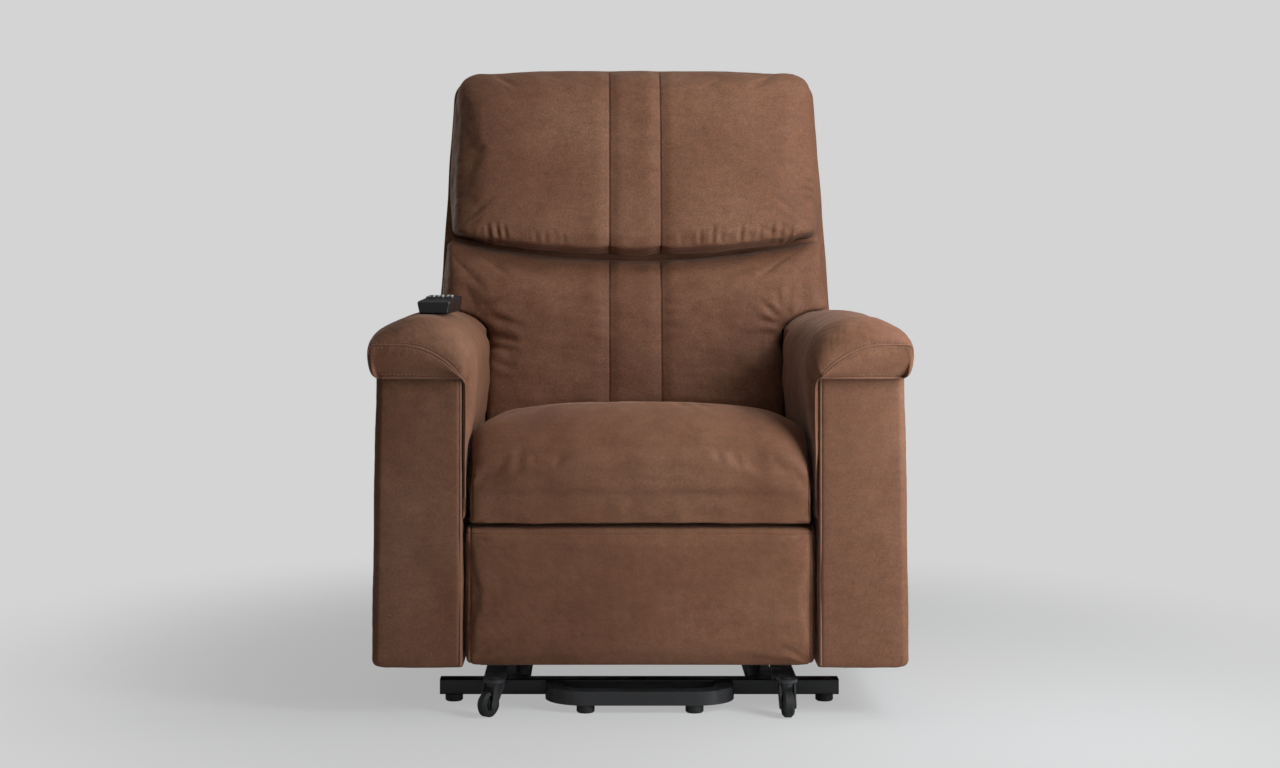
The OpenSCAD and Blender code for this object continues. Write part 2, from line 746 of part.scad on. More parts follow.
// Side profile of the cushion's cover: an upright front, a round nose and a top that falls to the rear
function seat_profile(f) = f < nose_from ? seat_front(f / nose_from)
    : f < nose_to ? seat_nose(90 * (f - nose_from) / (nose_to - nose_from))
    : seat_top((f - nose_to) / (1 - nose_to));
function seat_front(g) = [seat_front_y - nose_out * sin(90 * g),
    seat_lip + 4 + (seat_crown - nose_r - seat_lip - 4) * g];
function seat_nose(turn) = [seat_front_y - nose_out + nose_r * (1 - cos(turn)),
    seat_crown - nose_r * (1 - sin(turn))];
function seat_top(g) = [seat_front_y - nose_out + nose_r + (seat_d - nose_r) * g,
    seat_crown - seat_fall * g - 14 * pow(g, 6)];
module seat_cushion() {
    lip_start = seat_front_y + 2;
    lip_end = seat_front_y + lip_t - 6;
    lip_rows = 0.3;
    under_y = lip_end + 2;
    back = seat_front_y + seat_d - 54;
    function fall(s, z) = z > seat_lip + 60 ? seat_side_fall * (1 - dome(s, 2.4)) : 0;
    color("#7b5342") two_sheet(seat_cover, seat_rows,
        function(s, t) let (p = seat_profile(t))
            [s * seat_half, p[0] + 8 * (1 - dome(s, 8)) * max(0, 1 - t), p[1] - fall(s, p[1])],
        function(s, t) t < lip_rows
            ? [s * seat_half, lip_start + (lip_end - lip_start) * t / lip_rows, seat_lip]
            : [s * seat_half, under_y + (back - under_y) * (t - lip_rows) / (1 - lip_rows), seat_under]);
}
module control_box() {
    box = [120, 90, 34];
    socket_r = 7;
    color("#1a1a1c") difference() {
        translate([0, cross_y[1] - 150 + box[1] / 2, frame_low - box[2] - 4])
            linear_extrude(box[2]) rounded2d(box[0], box[1], 6);
        translate([0, cross_y[1] - 150 + box[1] - 12, frame_low - 4 - box[2] / 2]) rotate([-90, 0, 0])
            cylinder(h = 20, r = socket_r, $fn = 32);
    }
}

// ---------------------------------------------------------------- arms
arm_out = chair_w / 2 - pad_side;
module arm_box(side) {
    r = arm_edge_r;
    color("#6f4a3b") mirrored(side) difference() {
        hull() for (z = [arm_low, arm_top - 1], y = [front_y + r, arm_rear_y - r]) {
            lean = arm_flare * (arm_top - z) / (arm_top - arm_low);
            translate([arm_in + r, y, z]) cylinder(h = 1, r = r, $fn = 32);
            translate([arm_out + lean - arm_flare / 2 - r, y, z]) cylinder(h = 1, r = r, $fn = 32);
        }
        translate([arm_in + arm_wall, front_y + arm_wall, arm_low - 1])
            cube([arm_w - 2 * arm_wall, arm_len - 2 * arm_wall, arm_top - arm_low - arm_wall + 1]);
    }
}
// Half profile of the pad, seen from the front, as an angle from the outer lower corner over the crown
pad_stations = [for (i = [0:16]) i / 16];
pad_rows = [0, 0.012, 0.03, 0.05, 0.075, 0.105, 0.14, 0.3, 0.6, 0.9, 0.97, 1];
module arm_pad(side) {
    inner = arm_in - drape_t - 0.6;
    mid = (inner + chair_w / 2) / 2;
    half = (chair_w / 2 - inner) / 2;
    length = arm_rear_y + chair_d / 2;
    low = arm_top + fit;
    rise = arm_crown - low;
    shoulder = 0.42;
    function height(f) = let (q = 180 * f) shoulder * dome(cos(q), 9) + (1 - shoulder) * dome(cos(q), 2.2);
    upright = nose_h / rise;
    function end_drop(t) = 0.5 + 0.5 * dome(max(0, 10 * t - 9), 3);
    function swell(t) = (upright + (1 - upright) * sin(90 * min(1, t / 0.14))) * end_drop(t);
    function narrow(t) = 0.93 + 0.07 * min(1, t / 0.05);
    color("#7b5342") mirrored(side) {
        two_sheet(pad_stations, pad_rows,
            function(f, t) [mid - half * cos(180 * f) * narrow(t), -chair_d / 2 + length * t,
                low + 8 + (rise - 8) * height(f) * swell(t)],
            function(f, t) [mid - (half - 4) * cos(180 * f) * narrow(t),
                -chair_d / 2 + 3 + (length - 3) * t, low]);
        translate([arm_in - drape_t, front_y + arm_edge_r, drape_low])
            cube([drape_t - fit, arm_len - 2 * arm_edge_r, low - drape_low + 10]);
    }
}
// Steel angles that bolt the arms to the seat frame
module arm_brackets() {
    angle_t = 4;
    angle_w = 60;
    inner = seat_rail_x + rail_t + fit;
    outer = arm_in - fit;
    color("#2b2c2e") both() for (y = [60, frame_d - 60 - angle_w])
        translate([0, frame_front_y + y, frame_low]) {
            translate([inner, 0, 0]) cube([outer - inner, angle_w, angle_t]);
            translate([outer - angle_t, 0, 0]) cube([angle_t, angle_w, rail_h]);
            translate([inner, 0, 0]) cube([angle_t, angle_w, rail_h]);
        }
}

// ---------------------------------------------------------------- footrest

module strap(x, points, radius) {
    plate(x, strap_t) for (i = [0:len(points) - 2]) strap2d(points[i], points[i + 1], radius);
}
// Drive shaft through both chassis plates, with the crank that the footrest actuator pushes
module foot_shaft() {
    crank_x = rod_eye_w / 2 + 1;
    crank_t = 4;
    color("#2b2c2e") {
        pin(shaft, shaft_r, -main_x + fit, main_x - fit);
        for (x0 = [actuator_x - crank_x - crank_t, actuator_x + crank_x])
            plate(x0, crank_t) hull() {
                translate(shaft) circle(shaft_r + 5, $fn = 32);
                translate(foot_pin) circle(strap_pin_r + 4, $fn = 32);
            }
        pin(foot_pin, strap_pin_r, actuator_x - crank_x - 0.5, actuator_x + crank_x + 0.5);
    }
}
module foot_main_links() {
    color("#3a3b3e") both() {
        difference() {
            strap(main_x, [shaft, u, q], strap_r + 2);
            pin(u, strap_pin_r - 0.5, main_x - 1, main_x + strap_t + 1);
        }
        pin(q, strap_pin_r, main_x + strap_t - 0.5, forward_x + strap_t + snap);
        pin(u, strap_pin_r, guide_front_x - snap, main_x + strap_t);
    }
}
module foot_forward_links() {
    color("#3a3b3e") both() {
        difference() {
            strap(forward_x, [t, q, r], strap_r);
            for (p = [q, r]) pin(p, strap_pin_r + run, forward_x - 1, forward_x + strap_t + 1);
        }
        pin(t, strap_pin_r, forward_x + strap_t - 0.5, guide_rear_x + strap_t + snap);
    }
}
module foot_rear_guides() {
    color("#3a3b3e") both() difference() {
        strap(guide_rear_x, [s, t], strap_r);
        pin(s, strap_pin_r + run, guide_rear_x - 1, guide_rear_x + strap_t + 1);
        pin(t, strap_pin_r + open_play, guide_rear_x - 1, guide_rear_x + strap_t + 1);
    }
}
module foot_front_guides() {
    color("#3a3b3e") both() difference() {
        strap(guide_front_x, [u, v], strap_r);
        pin(u, strap_pin_r + run, guide_front_x - 1, guide_front_x + strap_t + 1);
        pin(v, strap_pin_r + front_open_play, guide_front_x - 1, guide_front_x + strap_t + 1);
    }
}
board_y = front_y + foot_pad_t;
board_inset = 8;
board_back_y = board_y + foot_board_t;
module foot_board() {
    color("#b98f5c") translate([-foot_w / 2 + board_inset, board_y + fit, foot_low + 16])
        cube([foot_w - 2 * board_inset, foot_board_t - 2 * fit, foot_top - foot_low - 16]);
}
// Steel angles on the back of the board, each with its two link pins
module foot_brackets() {
    top_z = min(foot_top - 3, v[1] + strap_r);
    color("#3a3b3e") both() {
        plate(main_x, strap_t) hull() {
            translate([board_back_y, r[1] - strap_r]) square([1, top_z - r[1] + strap_r]);
            translate(r) circle(strap_r, $fn = 32);
            translate([v[0], min(v[1], top_z - 9)]) circle(9, $fn = 32);
        }
        translate([main_x, board_back_y, r[1] - strap_r - 20]) cube([22, 3, top_z - r[1] + strap_r + 20]);
        pin(r, strap_pin_r, main_x + strap_t - 0.5, forward_x + strap_t + snap);
        pin(v, strap_pin_r, guide_front_x - snap, main_x + 0.5);
    }
}
foot_cols = [-1, -0.985, -0.94, -0.84, -0.6, -0.3, 0, 0.3, 0.6, 0.84, 0.94, 0.985, 1];
foot_rows = rounded_stations(10);
module foot_pad() {
    h = (foot_top - foot_low) / 2;
    edge = 0.55;
    color("#7b5342") two_sheet(foot_cols, foot_rows,
        function(a, b) let (swell = dome(a, 10) * dome(b, 3))
            [a * (foot_w / 2 - 3 * (1 - dome(b, 4))), board_y - foot_pad_t * (edge + (1 - edge) * swell),
            foot_low + h + b * h * (1 - 0.02 * (1 - dome(a, 6)))],
        function(a, b) [a * foot_w / 2, board_y, foot_low + h + b * h]);
}

// ---------------------------------------------------------------- backrest
// The backrest's own frame: x across, y through it, z along it, with the recline axis at the origin
crank_at = [30, 30];
function from_back(p) = recline + p[0] * [cos(back_lean), -sin(back_lean)]
    + p[1] * [sin(back_lean), cos(back_lean)];

module in_back() { translate([0, recline_y, recline_z]) rotate([-back_lean, 0, 0]) children(); }
// Half width of the backrest at the height w along it; its wings begin at the height low
function half_at(w, low) = w < low ? back_tuck_w / 2
    : (back_wing_w + (back_top_w - back_wing_w) * max(0, w - wing_w) / (back_h - wing_w)) / 2;
function corner_at(w, r) = w < back_h - r ? 0 : r - sqrt(max(0, r * r - pow(w - back_h + r, 2)));
function split_at(s) = split_w - split_sag * (1 - s * s);
function lumbar_top(s) = split_w - cushion_gap - lumbar_sag * (1 - s * s);

shell_cols = [-1, -0.97, -0.9, -0.75, 0, 0.75, 0.9, 0.97, 1];
shell_rows = [0, 0.1, 0.2, 0.202, 0.3, 0.42, 0.6, 0.78, 0.84, 0.87, 0.9, 0.93, 0.96, 0.985, 1];
module back_shell() {
    wing_row = 0.201;
    rounding = back_round[0];
    function level(f) = f < wing_row ? shell_low + (shell_wing_w - shell_low) * f / wing_row
        : shell_wing_w + (back_h - 1 - shell_wing_w) * (f - wing_row) / (1 - wing_row);
    function side(w) = half_at(w, shell_wing_w) - corner_at(w, back_corner);
    function top_round(w) = dome(max(0, (w - back_h) / back_round[1] + 1), 2);
    color("#6f4a3b") in_back() difference() {
        two_sheet(shell_cols, shell_rows,
            function(a, f) [a * side(level(f)), shell_front, level(f)],
            function(a, f) let (w = level(f), e = dome(a, 7) * top_round(w))
                [a * side(w), shell_back - rounding * (1 - e), w]);
        wall = 18;
        hollow = shell_t - wall - 22;
        translate([-back_tuck_w / 2 + wall, shell_front - 1, shell_low - 1])
            cube([back_tuck_w - 2 * wall, hollow, back_h - shell_low - back_corner]);
    }
}
post_x = rear_link_x + plate_t + fit;
post_t = 28;
post_d = 40;
post_low = 60;
post_high = back_h - back_corner - 14;
hinge_high = post_low + 130;
module back_posts() {
    color("#b98f5c") both() in_back()
        translate([post_x, 0, post_low]) cube([post_t, post_d, post_high - post_low]);
}
module back_rails() {
    color("#b98f5c") in_back() for (w = [post_low + 20, (post_low + post_high) / 2, post_high - 40]) {
        half = (w < hinge_high ? rear_link_x : post_x) - fit;
        translate([-half, 6, w]) cube([2 * half, 22, 40]);
    }
}
module back_springs() {
    length = post_high - post_low - 60;
    count = 4;
    color("#8a8d90") in_back() for (i = [0:count - 1])
        translate([-150 + 100 * i, 6 - spring_r - fit, post_low + 30]) rotate([90, 0, 0]) zigzag(length);
}
// Side plates that carry the backrest on the recline pins
module back_hinge_plates() {
    color("#2b2c2e") both() difference() {
        plate(rear_link_x, plate_t) {
            strap2d(recline, from_back(crank_at), 16);
            hull() {
                translate(from_back(crank_at)) circle(16, $fn = 32);
                translate(from_back([14, hinge_high])) circle(14, $fn = 32);
                translate(from_back([26, hinge_high])) circle(14, $fn = 32);
            }
        }
        pin(recline, pin_r + run, rear_link_x - 1, rear_link_x + plate_t + 1);
    }
}
module back_crank_tube() {
    crank_x = rod_eye_w / 2 + 1;
    crank_t = 4;
    tube = from_back(crank_at);
    color("#2b2c2e") {
        pin(tube, 10, -rear_link_x + fit, rear_link_x - fit);
        for (x0 = [-actuator_x - crank_x - crank_t, -actuator_x + crank_x])
            plate(x0, crank_t) strap2d(tube, back_pin, 11);
        pin(back_pin, strap_pin_r, -actuator_x - crank_x - 0.5, -actuator_x + crank_x + 0.5);
    }
}
cushion_half = channel_w / 2;
function seams(x) = groove(x - cushion_half, 7) + groove(x + cushion_half, 7);
// Columns of a back cushion: close at both edges and across the two seams
function cushion_cols(half) = let (c = cushion_half / half, g = 7 / half)
    [-1, -0.985, -0.94, -0.84, -0.66, -0.42, -c - g, -c, -c + g, 0,
    c - g, c, c + g, 0.42, 0.66, 0.84, 0.94, 0.985, 1];
cushion_cols_wide = cushion_cols(back_wing_w / 2);
// Front of a back cushion of the thickness t, where it is swollen to the share e
function cushion_front(e, t) = shell_front - 2 - cushion_edge - (t - 2 - cushion_edge) * e;
module back_cushion_lower() {
    low = 20;
    rows = [0, 0.04, 0.12, 0.25, 0.45, 0.62, 0.72, 0.724, 0.78, 0.88, 0.95, 0.985, 1];
    wing_f = 0.722;     // share of the rows below the wings
    function level(f, s) = f < wing_f ? low + (wing_w - low) * f / wing_f
        : wing_w + (lumbar_top(s) - wing_w) * (f - wing_f) / (1 - wing_f);
    function side(f, w) = f < wing_f ? back_tuck_w / 2 : half_at(w, wing_w);
    function swell(s, f) = dome(s, 6) * dome(max(0, 1 - f / 0.25), 2.5)
        * dome(max(0, (f - 0.62) / 0.38), 3);
    color("#7b5342") in_back() two_sheet(cushion_cols_wide, rows,
        function(s, f) let (w = level(f, s), e = swell(s, f))
            [s * side(f, w), cushion_front(e, lumbar_t) + seam_depth * e * seams(s * back_wing_w / 2), w],
        function(s, f) let (w = level(f, s)) [s * side(f, w), shell_front - 2, w]);
}
module back_cushion_upper() {
    rows = [0, 0.02, 0.06, 0.13, 0.25, 0.42, 0.6, 0.76, 0.87, 0.94, 0.98, 1];
    r = back_corner - 6;
    function level(f, s) = split_at(s) + (back_h - 1 - split_at(s)) * f;
    function side(f, w) = half_at(w, wing_w) - 2 - hem_inset * (1 - f) - corner_at(w, r);
    function swell(s, f) = dome(s, 6) * dome(max(0, 1 - f / 0.13), 3)
        * dome(max(0, (f - 0.42) / 0.58), 2.6);
    color("#7b5342") in_back() two_sheet(cushion_cols_wide, rows,
        function(s, f) let (w = level(f, s), e = swell(s, f))
            [s * side(f, w), cushion_front(e, head_t) + seam_depth * e * seams(s * back_wing_w / 2), w],
        function(s, f) let (w = level(f, s)) [s * side(f, w), shell_front - 2, w]);
}

// ---------------------------------------------------------------- handset
handset_x = -(arm_in + arm_w / 2 - 19);
handset_z = arm_crown + fit;
module at_handset() {
    translate([handset_x, front_y + handset_at, handset_z]) rotate([0, 0, -handset_turn]) children();
}
key_pitch = key[0] + 3;
key_at = 76;        // middle of the keys, from the handset's near end
key_pin_r = 1.4;
key_pin_z = handset[2] - 5 + key_at * tan(handset_slope);
key_rise = 5;       // height of the face above the keys' pin
key_under = 3;      // depth of a key below its pin
key_dip = 0.6;      // height of a key's middle above the face
key_tilt = 6;
key_room = 0.7;
// The keys' own frame: the pin's middle is the origin
module at_keys() {
    at_handset() translate([0, key_at, key_pin_z]) rotate([handset_slope, 0, 0]) children();
}
module handset_shell() {
    gland_r = 4;
    corner = 4;
    taper = 3;
    pocket_low = -key_under - key[1] / 2 * sin(key_tilt) - key_room;
    pocket = [key[0] + 2 * fit, key[1] + 2 * key_room, handset[2]];
    function top(y) = handset[2] - corner + y * (handset[0] - 2 * corner) * tan(handset_slope);
    color("#141416") {
        difference() {
            at_handset() union() {
                hull() for (x = [-1, 1], y = [0, 1], z = [0, 1])
                    translate([x * (handset[1] / 2 - corner - taper * (1 - z)),
                        corner + y * (handset[0] - 2 * corner), z == 0 ? corner : top(y)])
                        sphere(corner, $fn = 16);
                translate([0, handset[0] - 1, handset[2] / 2]) rotate([-90, 0, 0])
                    cylinder(h = 8, r1 = gland_r + 1.5, r2 = gland_r, $fn = 32);
            }
            at_keys() for (i = [-1:1])
                translate([i * key_pitch - pocket[0] / 2, -pocket[1] / 2, pocket_low]) cube(pocket);
        }
        at_keys() translate([-1.5 * key_pitch - 1, 0, 0]) rotate([0, 90, 0])
            cylinder(h = 3 * key_pitch + 2, r = key_pin_r, $fn = 32);
    }
}
// Rocker that tips either way on the pin across the handset
module handset_key(column) {
    half = key[1] / 2;
    edge = 1;
    low = -key_under;
    high = key_rise + key_h;
    color("#303134") at_keys() translate([column * key_pitch - key[0] / 2, 0, 0]) rotate([90, 0, 90])
        difference() {
            linear_extrude(key[0]) polygon([[-half, low + edge], [-half + edge, low], [half - edge, low],
                [half, low + edge], [half, high - edge], [half - edge, high], [3, key_rise + key_dip],
                [-3, key_rise + key_dip], [-half + edge, high], [-half, high - edge]]);
            translate([0, 0, -1]) cylinder(h = key[0] + 2, r = key_pin_r + run, $fn = 32);
        }
}

base_front_bar();
base_rear_bar();
base_side_rails();
base_end_caps();
base_loop();
base_feet();
lift_floor_brackets();
caster_brackets();
caster_fork(-1);  // caster_fork_left
caster_fork(1);  // caster_fork_right
caster_wheel(-1);  // caster_wheel_left
caster_wheel(1);  // caster_wheel_right
lift_front_links();
lift_torque_tube();
lift_lever_plates();
lift_rear_links();
lift_floor_pins();
lift_chassis_pins();
lift_motor();
lift_motor_tube();
lift_rod();
chassis_plate(-1);  // chassis_plate_left
chassis_plate(1);  // chassis_plate_right
chassis_cross_tubes();
seat_frame_sides();
seat_frame_rails();
seat_springs();
seat_cushion();
arm_box(-1);  // arm_box_left
arm_box(1);  // arm_box_right
arm_pad(-1);  // arm_pad_left
arm_pad(1);  // arm_pad_right
arm_brackets();
control_box();
foot_shaft();
foot_main_links();
foot_forward_links();
foot_rear_guides();
foot_front_guides();
foot_board();
foot_brackets();
foot_pad();
foot_motor();
foot_rod();
back_shell();
back_posts();
back_rails();
back_springs();
back_cushion_lower();
back_cushion_upper();
back_hinge_plates();
back_crank_tube();
back_motor();
back_rod();
handset_shell();
handset_key(-1);  // handset_key_lift
handset_key(0);  // handset_key_back
handset_key(1);  // handset_key_foot
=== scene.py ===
"""Looks of the lift recliner chair: upholstery, thread, finishes, studio and camera, around its CAD frame."""
import json
import math

import bmesh
import bpy
import numpy as np
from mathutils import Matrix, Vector


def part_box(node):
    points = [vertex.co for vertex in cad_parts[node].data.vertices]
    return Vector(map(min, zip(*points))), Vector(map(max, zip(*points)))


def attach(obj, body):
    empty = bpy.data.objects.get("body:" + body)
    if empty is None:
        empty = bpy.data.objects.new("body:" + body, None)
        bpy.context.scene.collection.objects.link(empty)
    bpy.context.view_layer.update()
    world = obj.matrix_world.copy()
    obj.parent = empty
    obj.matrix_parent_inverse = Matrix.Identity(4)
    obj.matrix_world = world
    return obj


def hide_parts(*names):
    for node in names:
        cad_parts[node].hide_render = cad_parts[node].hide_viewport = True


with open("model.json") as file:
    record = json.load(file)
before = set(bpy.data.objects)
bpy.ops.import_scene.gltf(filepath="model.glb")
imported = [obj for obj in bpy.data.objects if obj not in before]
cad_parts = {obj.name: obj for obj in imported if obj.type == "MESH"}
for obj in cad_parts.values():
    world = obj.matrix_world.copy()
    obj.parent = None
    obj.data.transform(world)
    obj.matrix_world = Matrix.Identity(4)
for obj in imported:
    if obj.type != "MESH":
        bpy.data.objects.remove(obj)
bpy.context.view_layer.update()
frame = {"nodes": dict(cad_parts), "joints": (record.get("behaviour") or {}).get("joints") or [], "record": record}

# -------- sizes taken from the frame
JOINTS = {joint["name"]: joint for joint in frame["joints"]}
HINGE = JOINTS["recline"]["pos_m"]
LEAN = math.radians(15)
# Low and high corners as x, y, z
(ARM_IN, FRONT, ARM_LOW), (_, ARM_REAR, ARM_TOP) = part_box("arm_box_right")
(PAD_IN, NOSE, _), (PAD_OUT, _, CROWN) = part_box("arm_pad_right")
(_, SEAT_FRONT, SEAT_LIP), (SEAT_HALF, SEAT_REAR, SEAT_CROWN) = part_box("seat_cushion")
SEAT_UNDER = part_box("seat_springs")[1][2] + 0.001
HANDSET_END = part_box("handset_shell")[1][1]


# -------- small helpers
def dome(a, power):
    """1 in the middle and 0 at the ends, flatter with a higher power."""
    return np.power(np.maximum(0.0, 1 - np.power(np.abs(a), power)), 1 / power)


def groove(x, width):
    """1 at zero, falling off softly on both sides."""
    return np.exp(-np.square(x / width))


def smooth(a, low, high):
    """0 below low, 1 above high and soft between."""
    t = np.clip((a - low) / (high - low), 0, 1)
    return t * t * (3 - 2 * t)


def cosine_steps(count):
    """Stations from 0 to 1, close together near both ends."""
    return 0.5 - 0.5 * np.cos(np.linspace(0, math.pi, count))


def side_steps(count):
    """Stations from -1 to 1 as a row, close together near both sides."""
    return np.sin(np.linspace(-math.pi / 2, math.pi / 2, count))[None, :]


def noise(points, scale, seed=0):
    """Smooth noise between about -1 and 1 from a few sines at fixed odd angles."""
    rng = np.random.default_rng(seed)
    total = np.zeros(points.shape[:-1])
    for octave in range(5):
        direction = rng.normal(size=(3, 3))
        direction /= np.linalg.norm(direction, axis=1)[:, None]
        phase = rng.uniform(0, 2 * math.pi, 3)
        waves = np.sin(points @ direction.T * (2 * math.pi / scale) * 1.7 ** octave + phase)
        total += waves.prod(axis=-1) / 2.3 ** octave
    return total


def assign(target, **values):
    for key, value in values.items():
        setattr(target, key, value)


def shade_smooth(mesh):
    mesh.polygons.foreach_set("use_smooth", [True] * len(mesh.polygons))


def linked(name, data):
    """A new object in the scene that shows this data."""
    obj = bpy.data.objects.new(name, data)
    bpy.context.collection.objects.link(obj)
    return obj


def new_object(name, verts, faces, material=None, smooth_shade=True):
    mesh = bpy.data.meshes.new(name)
    mesh.from_pydata([tuple(v) for v in verts], [], [tuple(f) for f in faces])
    mesh.update()
    if smooth_shade:
        shade_smooth(mesh)
    if material:
        mesh.materials.append(material)
    return linked(name, mesh)


def grid_faces(rows, cols, start=0, flip=False):
    """Quads over a grid of points that is stored row by row."""
    faces = []
    for j in range(rows - 1):
        for i in range(cols - 1):
            k = start + j * cols + i
            quad = (k, k + 1, k + cols + 1, k + cols)
            faces.append(quad[::-1] if flip else quad)
    return faces


def sheet(x, y, z):
    """Grid of points from their coordinates, each given in full or as a row or column."""
    return np.stack(np.broadcast_arrays(x, y, z), axis=-1)


def two_sheet(name, top, bottom, material):
    """Closed form between two grids of points of the same shape (rows, cols, 3)."""
    rows, cols = top.shape[:2]
    verts = np.concatenate([top.reshape(-1, 3), bottom.reshape(-1, 3)])
    low = rows * cols
    faces = grid_faces(rows, cols) + grid_faces(rows, cols, low, flip=True)
    rim = list(range(cols))
    rim += [j * cols + cols - 1 for j in range(1, rows)]
    rim += [(rows - 1) * cols + i for i in range(cols - 2, -1, -1)]
    rim += [j * cols for j in range(rows - 2, 0, -1)]
    for a, b in zip(rim, rim[1:] + rim[:1]):
        faces.append((a, low + a, low + b, b))
    return new_object(name, verts, faces, material)


def modify(obj, kind, **settings):
    assign(obj.modifiers.new(kind.title(), kind), **settings)


def apply_modifiers(obj):
    """Turns what the modifiers make into the object's own mesh."""
    bpy.context.view_layer.objects.active = obj
    depsgraph = bpy.context.evaluated_depsgraph_get()
    mesh = bpy.data.meshes.new_from_object(obj.evaluated_get(depsgraph))
    materials = [slot.material for slot in obj.material_slots]
    obj.modifiers.clear()
    obj.data = mesh
    if not mesh.materials:
        for material in materials:
            mesh.materials.append(material)


def points_of(obj, field="co"):
    data = np.empty(len(obj.data.vertices) * 3)
    obj.data.vertices.foreach_get(field, data)
    return data.reshape(-1, 3)


def set_points(obj, points):
    obj.data.vertices.foreach_set("co", points.ravel())
    obj.data.update()


def normals_of(obj):
    return points_of(obj, "normal")


def mirrored_copy(obj, name):
    """A copy for the other side of the chair."""
    copy = obj.copy()
    copy.data = obj.data.copy()
    copy.name = name
    points = points_of(copy)
    points[:, 0] *= -1
    set_points(copy, points)
    copy.data.flip_normals()
    bpy.context.collection.objects.link(copy)
    return copy


def tube(name, path, radius, material):
    """A round cord along a path, as a mesh."""
    curve = bpy.data.curves.new(name, "CURVE")
    curve.dimensions = "3D"
    line = curve.splines.new("POLY")
    line.points.add(len(path) - 1)
    for point, place in zip(line.points, path):
        point.co = (*place, 1)
    assign(curve, bevel_depth=radius, bevel_resolution=3, use_fill_caps=True)
    temporary = linked(name + "_curve", curve)
    depsgraph = bpy.context.evaluated_depsgraph_get()
    mesh = bpy.data.meshes.new_from_object(temporary.evaluated_get(depsgraph))
    bpy.data.objects.remove(temporary)
    mesh.name = name
    mesh.materials.clear()
    mesh.materials.append(material)
    shade_smooth(mesh)
    return linked(name, mesh)


def resample(path, step):
    """Points along a path at equal distances."""
    path = np.asarray(path, float)
    lengths = np.concatenate([[0], np.cumsum(np.linalg.norm(np.diff(path, axis=0), axis=1))])
    count = max(2, int(lengths[-1] / step) + 1)
    stations = np.linspace(0, lengths[-1], count)
    return np.stack([np.interp(stations, lengths, path[:, k]) for k in range(3)], axis=1)


def stitches(name, path, material, length=0.0042, gap=0.0022, radius=0.0005):
    """Thread that shows as short dashes along a path; each dash is a small six-sided spindle."""
    path = resample(path, 0.001)
    steps = np.linalg.norm(np.diff(path, axis=0), axis=1)
    along = np.concatenate([[0], np.cumsum(steps)])
    verts, faces = [], []
    start = 0.0
    while start + length < along[-1]:
        ends = [np.array([np.interp(start + length * q, along, path[:, k]) for k in range(3)])
                for q in (0, 0.25, 0.75, 1)]
        direction = ends[3] - ends[0]
        direction /= max(np.linalg.norm(direction), 1e-9)
        side = np.cross(direction, (0.3, 0.2, 0.93))
        side /= np.linalg.norm(side)
        up = np.cross(side, direction)
        base = len(verts)
        for centre, size in zip(ends, (0.35, 1, 1, 0.35)):
            for k in range(6):
                angle = k * math.pi / 3
                verts.append(centre + radius * size * (math.cos(angle) * side + math.sin(angle) * up))
        for ring in range(3):
            for k in range(6):
                a, b = base + ring * 6 + k, base + ring * 6 + (k + 1) % 6
                faces.append((a, b, b + 6, a + 6))
        faces.append(tuple(base + k for k in range(5, -1, -1)))
        faces.append(tuple(base + 18 + k for k in range(6)))
        start += length + gap
    return new_object(name, verts, faces, material)


# -------- materials
def plug(tree, socket, value):
    """Links another node's output into a socket, or sets the socket to a value."""
    if isinstance(value, bpy.types.NodeSocket):
        tree.links.new(value, socket)
    elif socket.type == "RGBA" and len(value) == 3:
        socket.default_value = (*value, 1)
    else:
        socket.default_value = value


def add_node(tree, kind, inputs, **settings):
    """A new node with its settings and its inputs, given by name or number."""
    node = tree.nodes.new(kind)
    assign(node, **settings)
    for key, value in inputs.items():
        plug(tree, node.inputs[key], value)
    return node


class Nodes:
    """Short calls for a material's node tree."""

    def __init__(self, name):
        self.material = bpy.data.materials.new(name)
        self.material.use_nodes = True
        self.tree = self.material.node_tree
        self.shader = self.tree.nodes["Principled BSDF"]
        self.place = self.add("ShaderNodeTexCoord").outputs["Object"]

    def add(self, kind, **inputs):
        return add_node(self.tree, kind, {key.replace("_", " "): value for key, value in inputs.items()})

    def noise(self, scale, detail=4.0, roughness=0.5, place=None, distortion=0.0):
        node = self.add("ShaderNodeTexNoise", Vector=place or self.place, Scale=scale, Detail=detail,
                        Roughness=roughness, Distortion=distortion)
        return node.outputs["Fac"]

    def stretched(self, scale):
        """The place, scaled differently along each axis."""
        return self.add("ShaderNodeMapping", Vector=self.place, Scale=scale).outputs["Vector"]

    def edges(self, low, high, strength):
        """Where the surface bends outward, as a share up to the strength."""
        pointed = self.add("ShaderNodeNewGeometry").outputs["Pointiness"]
        return self.math("MULTIPLY", self.ramp(pointed, [(low, 0.0), (high, 1.0)]), strength)

    def ramp(self, value, stops):
        node = self.add("ShaderNodeValToRGB", Fac=value)
        elements = node.color_ramp.elements
        while len(elements) < len(stops):
            elements.new(0.5)
        for element, (position, colour) in zip(elements, stops):
            element.position = position
            grey = (colour, colour, colour) if isinstance(colour, (int, float)) else colour
            element.color = (*grey, 1)
        return node.outputs["Color"]

    def mix(self, factor, a, b, blend="MIX"):
        inputs = {0: factor, 6: a, 7: b}
        return add_node(self.tree, "ShaderNodeMix", inputs, data_type="RGBA", blend_type=blend).outputs[2]

    def math(self, operation, a, b):
        return add_node(self.tree, "ShaderNodeMath", {0: a, 1: b}, operation=operation).outputs[0]

    def bump(self, height, strength, distance, normal=None):
        inputs = dict(Height=height, Strength=strength, Distance=distance)
        if normal:
            inputs["Normal"] = normal
        return self.add("ShaderNodeBump", **inputs).outputs["Normal"]

    def set(self, **values):
        for key, value in values.items():
            plug(self.tree, self.shader.inputs[key.replace("_", " ")], value)
        return self.material


